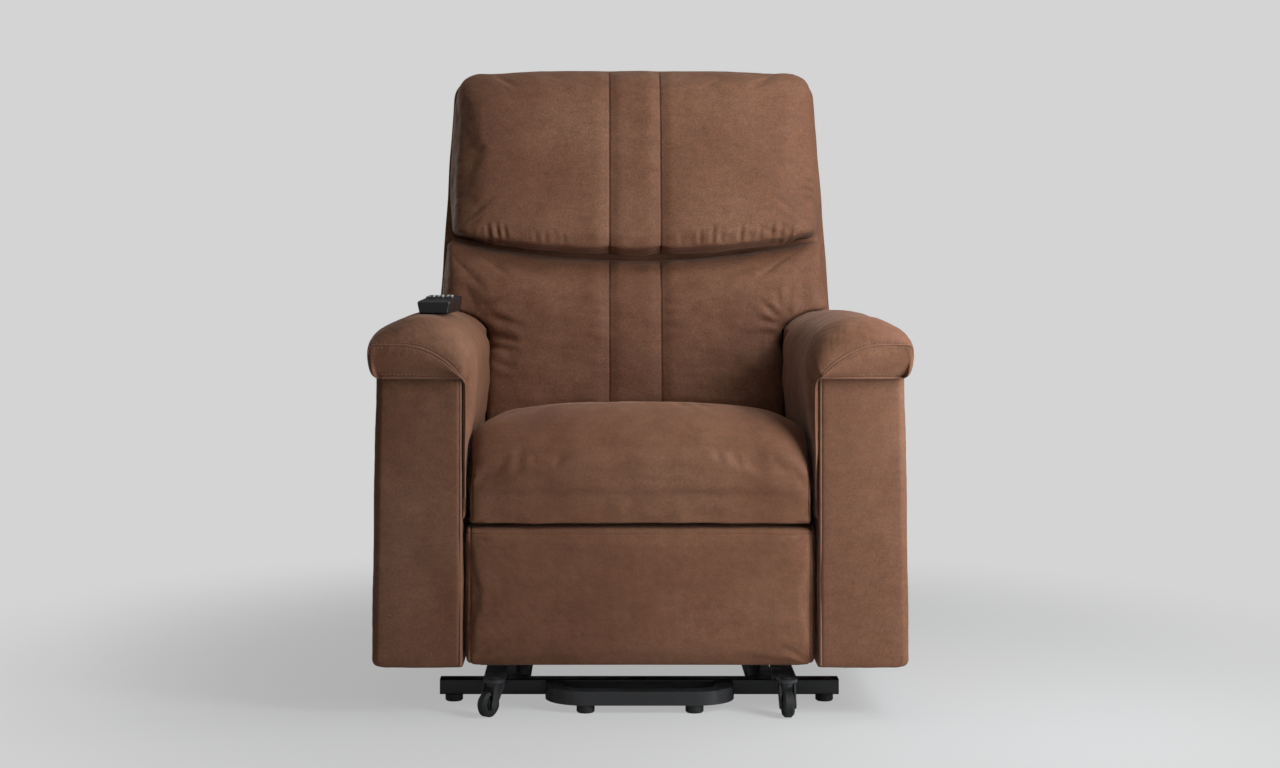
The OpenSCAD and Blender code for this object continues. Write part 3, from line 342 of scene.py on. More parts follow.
def shaded(colour, factor):
    return tuple(factor * c for c in colour)


def suede(name, dark, body, light, grain=1.0):
    """Distressed brushed cover: clouds of darker and lighter nap, fine grain and worn edges."""
    n = Nodes(name)
    clouds = n.ramp(n.noise(4.2, 5, 0.55, distortion=0.3), [(0.30, dark), (0.5, body), (0.72, light)])
    mottle = n.ramp(n.noise(46, 6, 0.72), [(0.3, 0.42), (0.5, 0.5), (0.72, 0.585)])
    colour = n.mix(0.8, clouds, mottle, "OVERLAY")
    specks = n.ramp(n.noise(330, 4, 0.75), [(0.32, 0.33), (0.5, 0.5), (0.70, 0.70)])
    colour = n.mix(0.55 * grain, colour, specks, "OVERLAY")
    streaks = n.stretched((0.22, 0.22, 1.0))
    rubbed = n.ramp(n.noise(110, 4, 0.7, place=streaks), [(0.36, 0.45), (0.5, 0.5), (0.7, 0.555)])
    colour = n.mix(0.6, colour, rubbed, "OVERLAY")
    colour = n.mix(n.edges(0.5, 0.56, 0.4), colour, light)
    cells = n.add("ShaderNodeTexVoronoi", Vector=n.place, Scale=620).outputs["Distance"]
    pebbles = n.bump(cells, 0.16 * grain, 0.0006)
    fibres = n.bump(n.noise(1500, 2, 0.6), 0.22 * grain, 0.0005, pebbles)
    soft = n.bump(n.noise(16, 4, 0.6), 0.10, 0.004, fibres)
    roughness = n.ramp(n.noise(60, 4, 0.6), [(0.3, 0.62), (0.7, 0.84)])
    return n.set(Base_Color=colour, Roughness=roughness, Normal=soft, Sheen_Weight=0.16, Sheen_Roughness=0.4,
                 Sheen_Tint=(0.80, 0.62, 0.52), Specular_IOR_Level=0.28)


def powder_coat(name, colour, roughness=0.45):
    """Fine orange-peel paint, a little uneven and rubbed at its corners."""
    n = Nodes(name)
    shade = n.ramp(n.noise(12, 4, 0.6), [(0.3, shaded(colour, 0.8)), (0.7, shaded(colour, 1.25))])
    shade = n.mix(n.edges(0.53, 0.62, 0.35), shade, (0.06, 0.06, 0.063))
    peel = n.bump(n.noise(700, 3, 0.55), 0.25, 0.0004)
    rough = n.ramp(n.noise(45, 4, 0.6), [(0.35, roughness - 0.08), (0.7, roughness + 0.12)])
    return n.set(Base_Color=shade, Roughness=rough, Normal=peel, Specular_IOR_Level=0.38)


def bare_metal(name, colour, roughness, streak=(1.0, 1.0, 1.0), scale=260):
    """Bare or plated metal with drawn streaks and a few dull patches."""
    n = Nodes(name)
    fine = n.noise(scale, 3, 0.6, place=n.stretched(streak))
    shade = n.mix(n.noise(25, 4, 0.6), shaded(colour, 0.8), colour)
    rough = n.ramp(fine, [(0.3, roughness), (0.7, roughness + 0.14)])
    return n.set(Base_Color=shade, Roughness=rough, Normal=n.bump(fine, 0.08, 0.0003), Metallic=1.0)


def moulded(name, colour, roughness, grain=900):
    """Moulded plastic or rubber with a fine grain and an uneven shine."""
    n = Nodes(name)
    shade = n.mix(n.noise(18, 4, 0.6), shaded(colour, 0.82), shaded(colour, 1.15))
    rough = n.ramp(n.noise(30, 3, 0.5), [(0.35, roughness - 0.07), (0.7, roughness + 0.08)])
    pits = n.bump(n.noise(grain, 2, 0.5), 0.2, 0.0003)
    return n.set(Base_Color=shade, Roughness=rough, Normal=pits, Specular_IOR_Level=0.4)


def plywood(name):
    """Wood with its grain along X."""
    n = Nodes(name)
    grain = n.noise(120, 6, 0.65, place=n.stretched((0.12, 1.0, 1.0)), distortion=0.5)
    colour = n.ramp(grain, [(0.3, (0.36, 0.22, 0.11)), (0.55, (0.5, 0.34, 0.18)), (0.8, (0.6, 0.43, 0.25))])
    return n.set(Base_Color=colour, Roughness=0.72, Normal=n.bump(grain, 0.25, 0.0006))


def thread(name, colour):
    """Sewing thread with the light and dark of its twist."""
    n = Nodes(name)
    twist = n.noise(1800, 2, 0.5)
    shade = n.mix(twist, shaded(colour, 0.7), colour)
    return n.set(Base_Color=shade, Roughness=0.6, Normal=n.bump(twist, 0.4, 0.0003), Sheen_Weight=0.2)


LEATHER = suede("suede_cover", (0.150, 0.061, 0.032), (0.182, 0.078, 0.041), (0.222, 0.106, 0.060))
BACK_LEATHER = suede("suede_back", (0.148, 0.061, 0.033), (0.180, 0.078, 0.042), (0.226, 0.108, 0.062), 1.8)
PANEL = suede("suede_panel", (0.142, 0.058, 0.030), (0.170, 0.073, 0.039), (0.210, 0.100, 0.058), 1.1)
# Welt cords: real cords of the cover, in a lighter copy of its leather that paints a highlight along the seams
WELT_PAINTED_HIGHLIGHT = suede("suede_welt_painted_highlight", (0.170, 0.076, 0.044), (0.205, 0.094, 0.056), (0.250, 0.125, 0.080), 0.8)
THREAD = thread("stitching", (0.30, 0.165, 0.11))
# Back-seam thread: the same thread darkened as painted shade of the seams' grooves
THREAD_PAINTED_SHADE = thread("stitching_painted_shade", (0.12, 0.058, 0.036))
STEEL_BLACK = powder_coat("powder_black", (0.006, 0.006, 0.0065), 0.36)
STEEL_GREY = powder_coat("powder_grey", (0.022, 0.022, 0.024), 0.5)
ZINC = bare_metal("zinc_plate", (0.56, 0.55, 0.52), 0.3)
ROD = bare_metal("ground_rod", (0.66, 0.66, 0.65), 0.16, (1.0, 0.2, 1.0), 500)
ALUMINIUM = bare_metal("anodised_tube", (0.42, 0.42, 0.43), 0.34, (1.0, 0.1, 0.1), 350)
WIRE = bare_metal("spring_wire", (0.36, 0.35, 0.34), 0.4)
RUBBER = moulded("black_rubber", (0.008, 0.008, 0.008), 0.7, 700)
PLASTIC = moulded("black_plastic", (0.007, 0.007, 0.0075), 0.40, 1100)
KEY_GREY = moulded("grey_plastic", (0.035, 0.035, 0.037), 0.5, 1100)
MARK = moulded("pale_marks", (0.72, 0.72, 0.70), 0.5, 1500)
PLY = plywood("plywood")

FINISH = {
    "steel_black": STEEL_BLACK, "steel_grey": STEEL_GREY, "zinc_pins": ZINC, "rod_steel": ROD,
    "tube_aluminium": ALUMINIUM, "spring_steel": WIRE, "rubber_black": RUBBER, "plastic_black": PLASTIC,
    "plastic_key": KEY_GREY, "plywood": PLY, "leather_cover": LEATHER, "arm_cover": PANEL,
}
for part in frame["record"]["subparts"]:
    node = frame["nodes"][part["node"]]
    for slot in node.material_slots:
        slot.material = FINISH[part["material_slot"]]


# -------- the backrest's own frame
def back_points(x, v, w):
    """World points from the backrest's frame: x across, v through it to the rear, w up along it."""
    y = HINGE[1] + v * math.cos(LEAN) + w * math.sin(LEAN)
    z = HINGE[2] - v * math.sin(LEAN) + w * math.cos(LEAN)
    return sheet(x, y, z)


def back_local(points):
    """x, v and w of world points."""
    y = points[..., 1] - HINGE[1]
    z = points[..., 2] - HINGE[2]
    return points[..., 0], y * math.cos(LEAN) - z * math.sin(LEAN), y * math.sin(LEAN) + z * math.cos(LEAN)


# Through the backrest
SHELL_FRONT = -0.020
SHELL_BACK = 0.095
# Across it: half widths between the arms, at the wings and at the top, and the place of the channel's seams
TUCK_HALF = 0.274
WING_HALF = 0.369
TOP_HALF = 0.346
HEM_INSET = 0.008
CHANNEL = 0.048
# Up along it
BACK_TOP = 0.759
WING_LOW = 0.2889
SHELL_WING_LOW = 0.1725
SPLIT = 0.431
SAG = 0.033


def split_line(s):
    """Hem of the upper cushion, from -1 to 1 across the backrest."""
    return SPLIT - SAG * (1 - s * s)


def lumbar_line(s):
    """Upper edge of the lower cushion: close to the hem at the sides and further from it in the middle."""
    return SPLIT - 0.005 - 0.044 * (1 - s * s)


def half_width(w):
    """Half width of the backrest above the wings' lower edge."""
    return WING_HALF + (TOP_HALF - WING_HALF) * np.clip((w - WING_LOW) / (BACK_TOP - WING_LOW), 0, 1)


def corner_cut(w, top, radius):
    """What a rounded corner at the top takes off the half width."""
    over = np.clip(w - top + radius, 0, radius)
    return radius - np.sqrt(np.maximum(radius * radius - over * over, 0))


# -------- cloth
CREASE_ROWS = (-0.0045, -0.0028, -0.0014, 0.0, 0.0014, 0.0028, 0.0045)


def crease(obj, axis, places):
    """Cuts fine rows of points through a cover at each seam, so that the seam can be drawn in sharply."""
    bm = bmesh.new()
    bm.from_mesh(obj.data)
    normal = Vector([float(k == axis) for k in range(3)])
    for place in places:
        for beside in CREASE_ROWS:
            bmesh.ops.bisect_plane(bm, geom=bm.verts[:] + bm.edges[:] + bm.faces[:], dist=0.0001,
                                   plane_co=normal * (place + beside), plane_no=normal)
    bm.to_mesh(obj.data)
    bm.free()
    shade_smooth(obj.data)


def inflate(obj, pinned, cap, pressure, voxel=0.006):
    """Swells a form like a stuffed cover: remesh, pressure, and a cap on how far points move; pinned ones stay."""
    modify(obj, "REMESH", mode="VOXEL", voxel_size=voxel)
    apply_modifiers(obj)
    start = points_of(obj).copy()
    group = obj.vertex_groups.new(name="pinned")
    group.add(np.nonzero(pinned(start))[0].tolist(), 1.0, "REPLACE")
    cloth = obj.modifiers.new("Cloth", "CLOTH")
    stiffness, frames = 12.0, 20
    assign(cloth.settings, quality=4, mass=0.3, use_pressure=True, uniform_pressure_force=pressure,
           tension_stiffness=stiffness, compression_stiffness=stiffness, shear_stiffness=5,
           bending_stiffness=0.6, vertex_group_mass="pinned", pin_stiffness=1)
    cloth.settings.effector_weights.gravity = 0
    assign(cloth.point_cache, frame_start=1, frame_end=frames)
    scene = bpy.context.scene
    for step in range(1, frames + 1):
        scene.frame_set(step)
    apply_modifiers(obj)
    moved = points_of(obj) - start
    length = np.linalg.norm(moved, axis=1)
    scale = np.where(length > cap, cap / np.maximum(length, 1e-9), 1.0)
    set_points(obj, start + moved * scale[:, None])
    scene.frame_set(1)


def refine(obj):
    modify(obj, "SUBSURF", levels=1, render_levels=1)
    apply_modifiers(obj)
    shade_smooth(obj.data)


def dents(across, along, lines, width):
    """Depth of short creases: each line runs between two points with its own depth and fades at both ends."""
    total = np.zeros_like(across)
    for x0, w0, x1, w1, depth in lines:
        length = math.hypot(x1 - x0, w1 - w0)
        share = ((across - x0) * (x1 - x0) + (along - w0) * (w1 - w0)) / length ** 2
        off = ((across - x0) * (w1 - w0) - (along - w0) * (x1 - x0)) / length
        fade = np.clip(share * 5 + 0.4, 0, 1) * np.clip((1.15 - share) * 1.6, 0, 1)
        ridges = groove(off - 2 * width, width) + groove(off + 2 * width, width)
        total += depth * groove(off, width) * fade - 0.4 * depth * ridges * fade
    return total


# -------- seat cushion
def seat_cushion():
    """The seat's cover: an upright front, a round nose, a crown that falls to the rear, and a flat underside."""
    s = side_steps(71)
    f = np.linspace(0, 1, 91)[:, None]
    nose_from, nose_to, radius = 0.16, 0.36, 0.080
    top = SEAT_CROWN - 0.004
    upright = np.clip(f / nose_from, 0, 1)
    turn = np.clip((f - nose_from) / (nose_to - nose_from), 0, 1) * math.pi / 2
    back = np.clip((f - nose_to) / (1 - nose_to), 0, 1)
    front_y = SEAT_FRONT + 0.005
    y = front_y + 0.003 - 0.005 * np.sin(upright * math.pi / 2) + radius * (1 - np.cos(turn)) \
        + (SEAT_REAR - SEAT_FRONT - radius - 0.006) * back
    z = SEAT_LIP + 0.003 + (top - radius - SEAT_LIP - 0.003) * upright + radius * np.sin(turn) \
        - 0.038 * back - 0.014 * back ** 6
    high = smooth(z, SEAT_LIP + 0.04, SEAT_LIP + 0.13)
    drop = 0.052 * (1 - dome(s, 2.5)) * high
    x = s * (SEAT_HALF - 0.0004)
    upper = sheet(x, y + 0.008 * (1 - dome(s, 8)) * (1 - back), z - drop)
    lip_y = SEAT_FRONT + 0.042
    rear_y = SEAT_REAR - 0.054
    lip_share = 0.3
    front_part = np.clip(f / lip_share, 0, 1)
    rear_part = np.clip((f - lip_share) / (1 - lip_share), 0, 1)
    low_y = SEAT_FRONT + 0.008 + (lip_y - SEAT_FRONT - 0.008) * front_part + (rear_y - lip_y) * rear_part
    low_z = np.where(f < lip_share, SEAT_LIP + 0.001, SEAT_UNDER + 0.002)
    lower = sheet(x, low_y, low_z)
    obj = two_sheet("seat_cover", upper, lower, LEATHER)

    inflate(obj, lambda p: (p[:, 2] < SEAT_UNDER + 0.012) | (p[:, 1] > SEAT_REAR - 0.07), 0.0045, pressure=2.5)
    refine(obj)
    p = points_of(obj)
    pressed, limit = SEAT_HALF + 0.0012, SEAT_HALF + 0.0014
    p[:, 0] *= pressed / np.abs(p[:, 0]).max()
    set_points(obj, p)
    seam = SEAT_HALF - 0.0075
    crease(obj, 0, (-seam, seam))
    p = points_of(obj)
    n = normals_of(obj)
    front = smooth(-p[:, 1], -(SEAT_FRONT + 0.05), -(SEAT_FRONT + 0.015)) \
        * smooth(p[:, 2], SEAT_LIP + 0.004, SEAT_LIP + 0.02)
    beside = np.abs(p[:, 0]) - seam
    p -= n * ((0.0022 * groove(beside, 0.0016) + 0.0016 * groove(beside, 0.008)) * front)[:, None]
    p += n * (0.0014 * noise(p, 0.24, 3) + 0.0005 * noise(p, 0.07, 4) * front)[:, None]
    puckers = np.sin(p[:, 0] * 95 + 2.5 * np.sin(p[:, 0] * 23))
    low_front = front * (1 - smooth(p[:, 2], SEAT_LIP + 0.01, SEAT_LIP + 0.045))
    p += n * (0.0006 * puckers * low_front)[:, None]
    p[:, 2] = np.maximum(p[:, 2], SEAT_LIP + 0.0002)
    p[:, 0] = np.clip(p[:, 0], -limit, limit)
    set_points(obj, p)
    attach(obj, "chassis")
    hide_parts("seat_cushion")


# -------- footrest pad
def foot_pad():
    """The footrest's cover: a cushion face drawn in along both sides and under its upper hem."""
    low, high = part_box("foot_pad")
    a = side_steps(81)
    b = side_steps(55).T
    half = high[0] - 0.002
    mid = (low[2] + high[2]) / 2
    height = (high[2] - low[2]) / 2 - 0.0002
    depth = high[1] - low[1] - 0.003
    edge = 0.55
    swell = dome(a, 10) * dome(b, np.where(b > 0, 6, 3.5))
    y = high[1] - depth * (edge + (1 - edge) * swell)
    round_low = 0.014
    over = np.clip(-b * height - height + round_low, 0, round_low)
    x = a * (half - (round_low - np.sqrt(round_low ** 2 - over ** 2)) - 0.002 * (1 - dome(b, 4)))
    z = mid + b * height * (1 - 0.004 * (1 - dome(a, 8)))
    upper = sheet(x, y, z)
    lower = sheet(x, high[1], z)
    obj = two_sheet("footrest_pad_cover", upper, lower, LEATHER)
    inflate(obj, lambda p: p[:, 1] > high[1] - 0.012, 0.0025, pressure=2.0, voxel=0.005)
    refine(obj)
    seam, hem_z = half - 0.0095, high[2] - 0.011
    crease(obj, 0, (-seam, seam))
    crease(obj, 2, (hem_z,))
    p = points_of(obj)
    n = normals_of(obj)
    face = smooth(-p[:, 1], -(low[1] + 0.022), -(low[1] + 0.008))
    p += n * ((0.0016 * noise(p, 0.28, 11) + 0.0004 * noise(p, 0.06, 12)) * face)[:, None]
    beside = np.abs(p[:, 0]) - seam
    hem = groove(p[:, 2] - hem_z, 0.0018)
    shown = smooth(-p[:, 1], -(high[1] - 0.010), -(high[1] - 0.020))
    drawn_in = 0.0018 * groove(beside, 0.0016) + 0.0010 * groove(beside, 0.007) + 0.0014 * hem
    p -= n * (drawn_in * shown)[:, None]
    p[:, 0] = np.clip(p[:, 0], -high[0], high[0])
    set_points(obj, p)
    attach(obj, "footrest")
    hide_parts("foot_pad")


# -------- back cushions
def channel_relief(x):
    """The cover is drawn in sharply at the two seams and rises softly beside them."""
    beside = np.abs(x) - CHANNEL
    return 0.0026 * groove(beside, 0.0018) + 0.0052 * groove(beside, 0.014)


def tenths(rows):
    """Metres from a table in tenths of a millimetre."""
    return [[value / 10000 for value in row] for row in rows]


# Creases of the upper cushion: x, height above the hem, to x, height, depth
HEM_PUCKERS = tenths((
    (-2720, 60, -2760, 300, 22), (-2540, 60, -2590, 340, 28), (-2400, 60, -2450, 320, 24),
    (-1830, 60, -1860, 260, 14), (-1650, 60, -1670, 280, 16), (-1320, 60, -1330, 240, 12),
    (850, 60, 860, 220, 10), (1210, 60, 1220, 340, 20), (1430, 60, 1460, 380, 26),
    (1600, 60, 1620, 280, 14), (1950, 60, 1990, 360, 24), (2305, 60, 2350, 300, 20),
    (2520, 60, 2570, 340, 22), (2696, 60, 2760, 320, 24), (2880, 60, 2960, 300, 22)))
# The same at its sides and, on the lower cushion, near the arms, with heights along the backrest
SIDE_PULLS = tenths((
    (3380, 5220, 3050, 5300, 22), (3400, 5060, 3000, 5080, 24), (3380, 5480, 3120, 5600, 16),
    (3360, 4900, 3100, 4860, 14), (-3380, 5600, -3100, 5660, 10), (-3400, 4900, -3080, 4940, 12)))
ARM_PULLS = tenths((
    (2830, 2660, 2880, 3280, 26), (2640, 2620, 2320, 2880, 30), (2620, 2500, 2200, 2550, 26),
    (2720, 2700, 2620, 3120, 16), (2580, 2320, 2150, 2260, 14), (-2680, 2620, -2050, 2400, 30),
    (-2700, 2300, -2140, 2120, 34), (-2680, 2080, -2120, 1940, 22), (-2860, 2800, -2400, 2920, 18),
    (-2620, 1780, -2200, 1600, 14)))
# Depth of the cushions at their edges, and what their crowns add to it
UPPER_DEPTH, UPPER_CROWN = 0.024, 0.079
LOWER_DEPTH, LOWER_CROWN = 0.022, 0.062


def upper_cushion():
    """Head cushion, puffed over its hem and gathered there."""
    s = side_steps(91)
    f = cosine_steps(81)[:, None]
    top = BACK_TOP - 0.002 + 0.006 * (1 - s * s)
    hem = split_line(s) + 0.003
    w = hem + (top - hem) * f
    half = half_width(w) - 0.007 - HEM_INSET * (1 - f) ** 3 - corner_cut(w, top, 0.048)
    x = s * (half - corner_cut(-w, -hem, 0.016))
    e = dome(s, 5) * dome(np.clip(1 - f / 0.042, 0, 1), 2.2) * dome(np.clip((f - 0.44) / 0.56, 0, 1), 2.6)
    v = SHELL_FRONT - 0.002 - UPPER_DEPTH - UPPER_CROWN * e
    overhang = 0.031 * e * (1 - smooth(f, 0.0, 0.40))
    upper = back_points(x, v, w - overhang)
    lower = back_points(x, np.full_like(x, SHELL_FRONT - 0.001), w)
    obj = two_sheet("back_cover_upper", upper, lower, BACK_LEATHER)
    inflate(obj, lambda p: back_local(p)[1] > SHELL_FRONT - 0.014, 0.006, pressure=2.5)
    refine(obj)
    crease(obj, 0, (-CHANNEL, CHANNEL))
    p = points_of(obj)
    n = normals_of(obj)
    x, v, w = back_local(p)
    front = smooth(-v, 0.045, 0.075)
    s = x / half_width(w)
    above = w - split_line(s) + 0.012
    p -= n * (channel_relief(x) * front)[:, None]
    p -= n * (dents(x, above, HEM_PUCKERS, 0.0038) * front)[:, None]
    p -= n * (dents(x, w, SIDE_PULLS, 0.0045) * front)[:, None]
    p += n * ((0.0018 * noise(p, 0.20, 21) + 0.0002 * noise(p, 0.05, 22)) * front)[:, None]
    set_points(obj, p)
    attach(obj, "backrest")
    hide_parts("back_cushion_upper")
    return obj


def clear_of_arm(x, y, z):
    """x of a wing's point, held back to what the arm pads' profile leaves free at its place."""
    inner = np.array(SECTION)[9:15][::-1]
    level = z + arm_fall(y)
    limit = np.interp(level - 0.004, inner[:, 1], inner[:, 0])
    limit = np.maximum(limit, PAD_IN + 0.0004) - 0.003
    return np.where(level < CROWN + 0.003, np.minimum(np.abs(x), limit), np.abs(x)) * np.sign(x)


def lower_cushion():
    """Lumbar cushion, narrow between the arms and wider above them."""
    s = side_steps(91)
    f = np.linspace(0, 1, 121)[:, None]
    low = 0.022
    top = lumbar_line(s)
    w = low + (top - low) * f
    wing = smooth(w, 0.215, WING_LOW)
    half = TUCK_HALF - 0.0006 + (half_width(w) - TUCK_HALF - 0.0060) * wing
    x = s * (half - 0.6 * corner_cut(w, top, 0.022))
    between_arms = 1 - smooth(w, 0.17, 0.23)
    square = dome(s, 6) + (dome(s, 16) - dome(s, 6)) * between_arms
    e = square * dome(np.clip(1 - f / 0.22, 0, 1), 2.5) * dome(np.clip((f - 0.64) / 0.36, 0, 1), 2.8)
    v = SHELL_FRONT - 0.002 - LOWER_DEPTH - LOWER_CROWN * e
    upper = back_points(x, v, w)
    lower = back_points(x, np.full_like(x, SHELL_FRONT - 0.001), w)
    for side in (upper, lower):
        side[..., 0] = clear_of_arm(*np.moveaxis(side, -1, 0))
    obj = two_sheet("back_cover_lower", upper, lower, BACK_LEATHER)

    def pinned(p):
        _, v, w = back_local(p)
        return (v > SHELL_FRONT - 0.014) | (w < 0.05)

    inflate(obj, pinned, 0.006, pressure=2.5)
    refine(obj)
    crease(obj, 0, (-CHANNEL, CHANNEL))
    p = points_of(obj)
    n = normals_of(obj)
    x, v, w = back_local(p)
    front = smooth(-v, 0.045, 0.070)
    p -= n * (channel_relief(x) * front)[:, None]
    p -= n * (dents(x, w, ARM_PULLS, 0.0062) * front)[:, None]
    near = groove(np.abs(x) - CHANNEL - 0.020, 0.018) * front * smooth(w, 0.14, 0.2) * (1 - smooth(w, 0.36, 0.40))
    ripples = np.sin(w * 210 + 2.0 * np.sin(w * 47))
    p += n * (0.0008 * ripples * near)[:, None]
    p += n * ((0.0018 * noise(p, 0.16, 31) + 0.0002 * noise(p, 0.05, 32)) * front)[:, None]
    set_points(obj, p)
    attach(obj, "backrest")
    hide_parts("back_cushion_lower")
    return obj


def back_shell():
    """Outside back and its boxing, open below: the rear sheet, its edges and a flange behind the cushions."""
    s = side_steps(61)
    f = np.linspace(0, 1, 111)[:, None]
    low = 0.045
    top = BACK_TOP - 0.001
    w = low + (top - low) * (1 - (1 - f) ** 1.35)
    wing = smooth(w, SHELL_WING_LOW - 0.001, SHELL_WING_LOW + 0.012)
    half = TUCK_HALF + (half_width(w) - TUCK_HALF) * wing - corner_cut(w, top, 0.045)
    x = s * half
    e = dome(s, 9) * dome(np.clip((w - top) / 0.100 + 1, 0, 1), 2)
    rear = back_points(x, SHELL_BACK - 0.044 * (1 - e), w)
    front = back_points(x, np.full_like(x, SHELL_FRONT), w)
    deep_w = np.minimum(w, top - 0.030)
    flange = back_points(s * (half - 0.030), np.full_like(x, SHELL_FRONT), deep_w)
    rows, cols = rear.shape[:2]
    verts = np.concatenate([rear.reshape(-1, 3), front.reshape(-1, 3), flange.reshape(-1, 3)])
    step = rows * cols
    faces = grid_faces(rows, cols, flip=True)
    rim = [j * cols + cols - 1 for j in range(rows)] + [(rows - 1) * cols + i for i in range(cols - 2, -1, -1)]
    rim += [j * cols for j in range(rows - 2, -1, -1)]
    for a, b in zip(rim, rim[1:]):
        faces.append((a, b, step + b, step + a))
        faces.append((step + a, step + b, 2 * step + b, 2 * step + a))
    obj = new_object("outside_back_cover", verts, faces, PANEL)
    bm = bmesh.new()
    bm.from_mesh(obj.data)
    loose = [v for v in bm.verts if not v.link_faces]
    bmesh.ops.delete(bm, geom=loose, context="VERTS")
    bm.to_mesh(obj.data)
    bm.free()
    modify(obj, "SOLIDIFY", thickness=0.004, offset=-1)
    modify(obj, "BEVEL", width=0.006, segments=3, limit_method="ANGLE", angle_limit=math.radians(50))
    apply_modifiers(obj)
    p = points_of(obj)
    p += normals_of(obj) * (0.0012 * noise(p, 0.2, 41))[:, None]
    set_points(obj, p)
    shade_smooth(obj.data)
    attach(obj, "backrest")
    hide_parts("back_shell")


def back_deck():
    """Strip of the cover over the frame that shows in the gap between the two back cushions."""
    s = np.linspace(-1, 1, 81)[None, :]
    f = np.linspace(0, 1, 7)[:, None]
    low = lumbar_line(s) - 0.004
    high = split_line(s) + 0.006
    w = low + (high - low) * f
    x = s * (half_width(w) - 0.012)
    face = back_points(x, SHELL_FRONT - 0.004 + 0 * x, w)
    behind = back_points(x, SHELL_FRONT - 0.001 + 0 * x, w)
    obj = two_sheet("back_deck_cover", face, behind, LEATHER)
    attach(obj, "backrest")


# -------- arms
# The panel's outer side at its top, and how much further out its foot stands
PANEL_OUT = PAD_OUT - 0.0145
FLARE = 0.0075


def arm_panel():
    """The right arm's padded box: rounded edges, front panel a little puffed, open below."""
    inner = ARM_IN - 0.0015
    radius = 0.010
    low_radius = 0.012
    rise = np.concatenate([np.linspace(0, 0.03, 9), np.linspace(0.04, 1, 56)])
    z = ARM_LOW + (ARM_TOP - ARM_LOW) * rise

    def ring(level):
        lean = FLARE * (ARM_TOP - level) / (ARM_TOP - ARM_LOW)
        under = max(0.0, low_radius - (level - ARM_LOW))
        tuck = low_radius - math.sqrt(low_radius ** 2 - under ** 2)
        x0, x1 = inner, PANEL_OUT + lean - tuck
        y0, y1 = FRONT + 0.3 * tuck, ARM_REAR
        corners = ((x0 + radius, y0 + radius, 180), (x1 - radius, y0 + radius, 270),
                   (x1 - radius, y1 - radius, 0), (x0 + radius, y1 - radius, 90))

        def on_corner(corner, turn):
            cx, cy, start = corner
            angle = math.radians(start + turn)
            return cx + radius * math.cos(angle), cy + radius * math.sin(angle)

        points = []
        for index, corner in enumerate(corners):
            points += [on_corner(corner, 11.25 * k) for k in range(9)]
            last, first = points[-1], on_corner(corners[(index + 1) % 4], 0)
            count = 16 if index % 2 == 0 else 50
            points += [tuple(l + (f - l) * (k / count) for l, f in zip(last, first)) for k in range(1, count)]
        return points

    rings = [[(x, y, level) for x, y in ring(level)] for level in z]
    count = len(rings[0])
    verts = [point for one in rings for point in one]
    faces = []
    for j in range(len(z) - 1):
        for i in range(count):
            a, b = j * count + i, j * count + (i + 1) % count
            faces.append((a, b, b + count, a + count))
    faces.append(tuple((len(z) - 1) * count + i for i in range(count)))
    obj = new_object("arm_panel_right", verts, faces, PANEL)
    modify(obj, "SOLIDIFY", thickness=0.012, offset=-1)
    apply_modifiers(obj)
    p = points_of(obj)
    n = normals_of(obj)
    mid = (inner + PANEL_OUT) / 2
    face = dome((p[:, 0] - mid) / ((PANEL_OUT - inner) / 2 + 0.006), 5)
    height = dome((p[:, 2] - (ARM_LOW + ARM_TOP) / 2) / ((ARM_TOP - ARM_LOW) / 2 + 0.002), 8)
    front = smooth(-p[:, 1], -(FRONT + 0.014), -(FRONT + 0.001))
    p[:, 1] -= 0.0045 * face * height * front
    outside = smooth(p[:, 0], PANEL_OUT - 0.004, PANEL_OUT)
    run = dome((p[:, 1] - (FRONT + ARM_REAR) / 2) / ((ARM_REAR - FRONT) / 2), 6)
    p[:, 0] += 0.004 * outside * run * height
    p += n * (0.0009 * noise(p, 0.18, 51) + 0.0003 * noise(p, 0.05, 52))[:, None]
    set_points(obj, p)
    shade_smooth(obj.data)
    return obj


# Lower end of the cover's inner side, hidden beside the seat cushion
DRAPE_LOW = SEAT_LIP + 0.008
# Section of the arm's cover, x and z: from its outer lip over the crown and down the inner side
SECTION = (
    (0.4185, 0.5376), (0.4228, 0.5392), (0.4280, 0.5466), (0.4314, 0.5590), (0.4326, 0.5760),
    (0.4296, 0.5930), (0.4186, 0.6085), (0.3980, 0.6205), (0.3720, 0.6300), (0.3450, 0.6334),
    (0.3180, 0.6290), (0.2940, 0.6170), (0.2760, 0.5998), (0.2662, 0.5805), (0.2622, 0.5600),
    (0.2624, 0.5350), (0.2640, 0.5050), (0.2670, 0.4750), (0.2706, 0.4450), (0.2754, 0.4180),
    (0.2779, DRAPE_LOW))
# The seam at its front: the outer edge of the end cap, the arc, and the front edge of the inner side
FRONT_SEAM = (
    (0.4130, 0.5374), (0.4172, 0.5390), (0.4222, 0.5462), (0.4256, 0.5585), (0.4272, 0.5745),
    (0.4250, 0.5872), (0.4120, 0.5898), (0.3920, 0.5900), (0.3697, 0.5890), (0.3480, 0.5850),
    (0.3290, 0.5775), (0.3120, 0.5676), (0.2970, 0.5556), (0.2866, 0.5444), (0.2800, 0.5352),
    (0.2766, 0.5240), (0.2762, 0.5000), (0.2762, 0.4750), (0.2766, 0.4450), (0.2772, 0.4180),
    (0.2779, DRAPE_LOW))
# Height of the end cap's lower edge, and where the cover's inner side lies against the arm's box
LIP = 0.5368
INNER_FACE = ARM_IN - 0.0021
# The cover turns from its front seam into its length within this share of it
NOSE_SHARE = 0.16
# Across the section, the share at which the cover's underside turns down the inner side
CORNER = 0.72


def arm_fall(y):
    """How far the arm's crown lies lower toward the rear."""
    return 0.014 * smooth(y, HANDSET_END, ARM_REAR)


def drape_set_back(z):
    """The inner side's lower part stands back behind the seat's front."""
    return 0.006 * (1 - smooth(z, 0.38, 0.42))


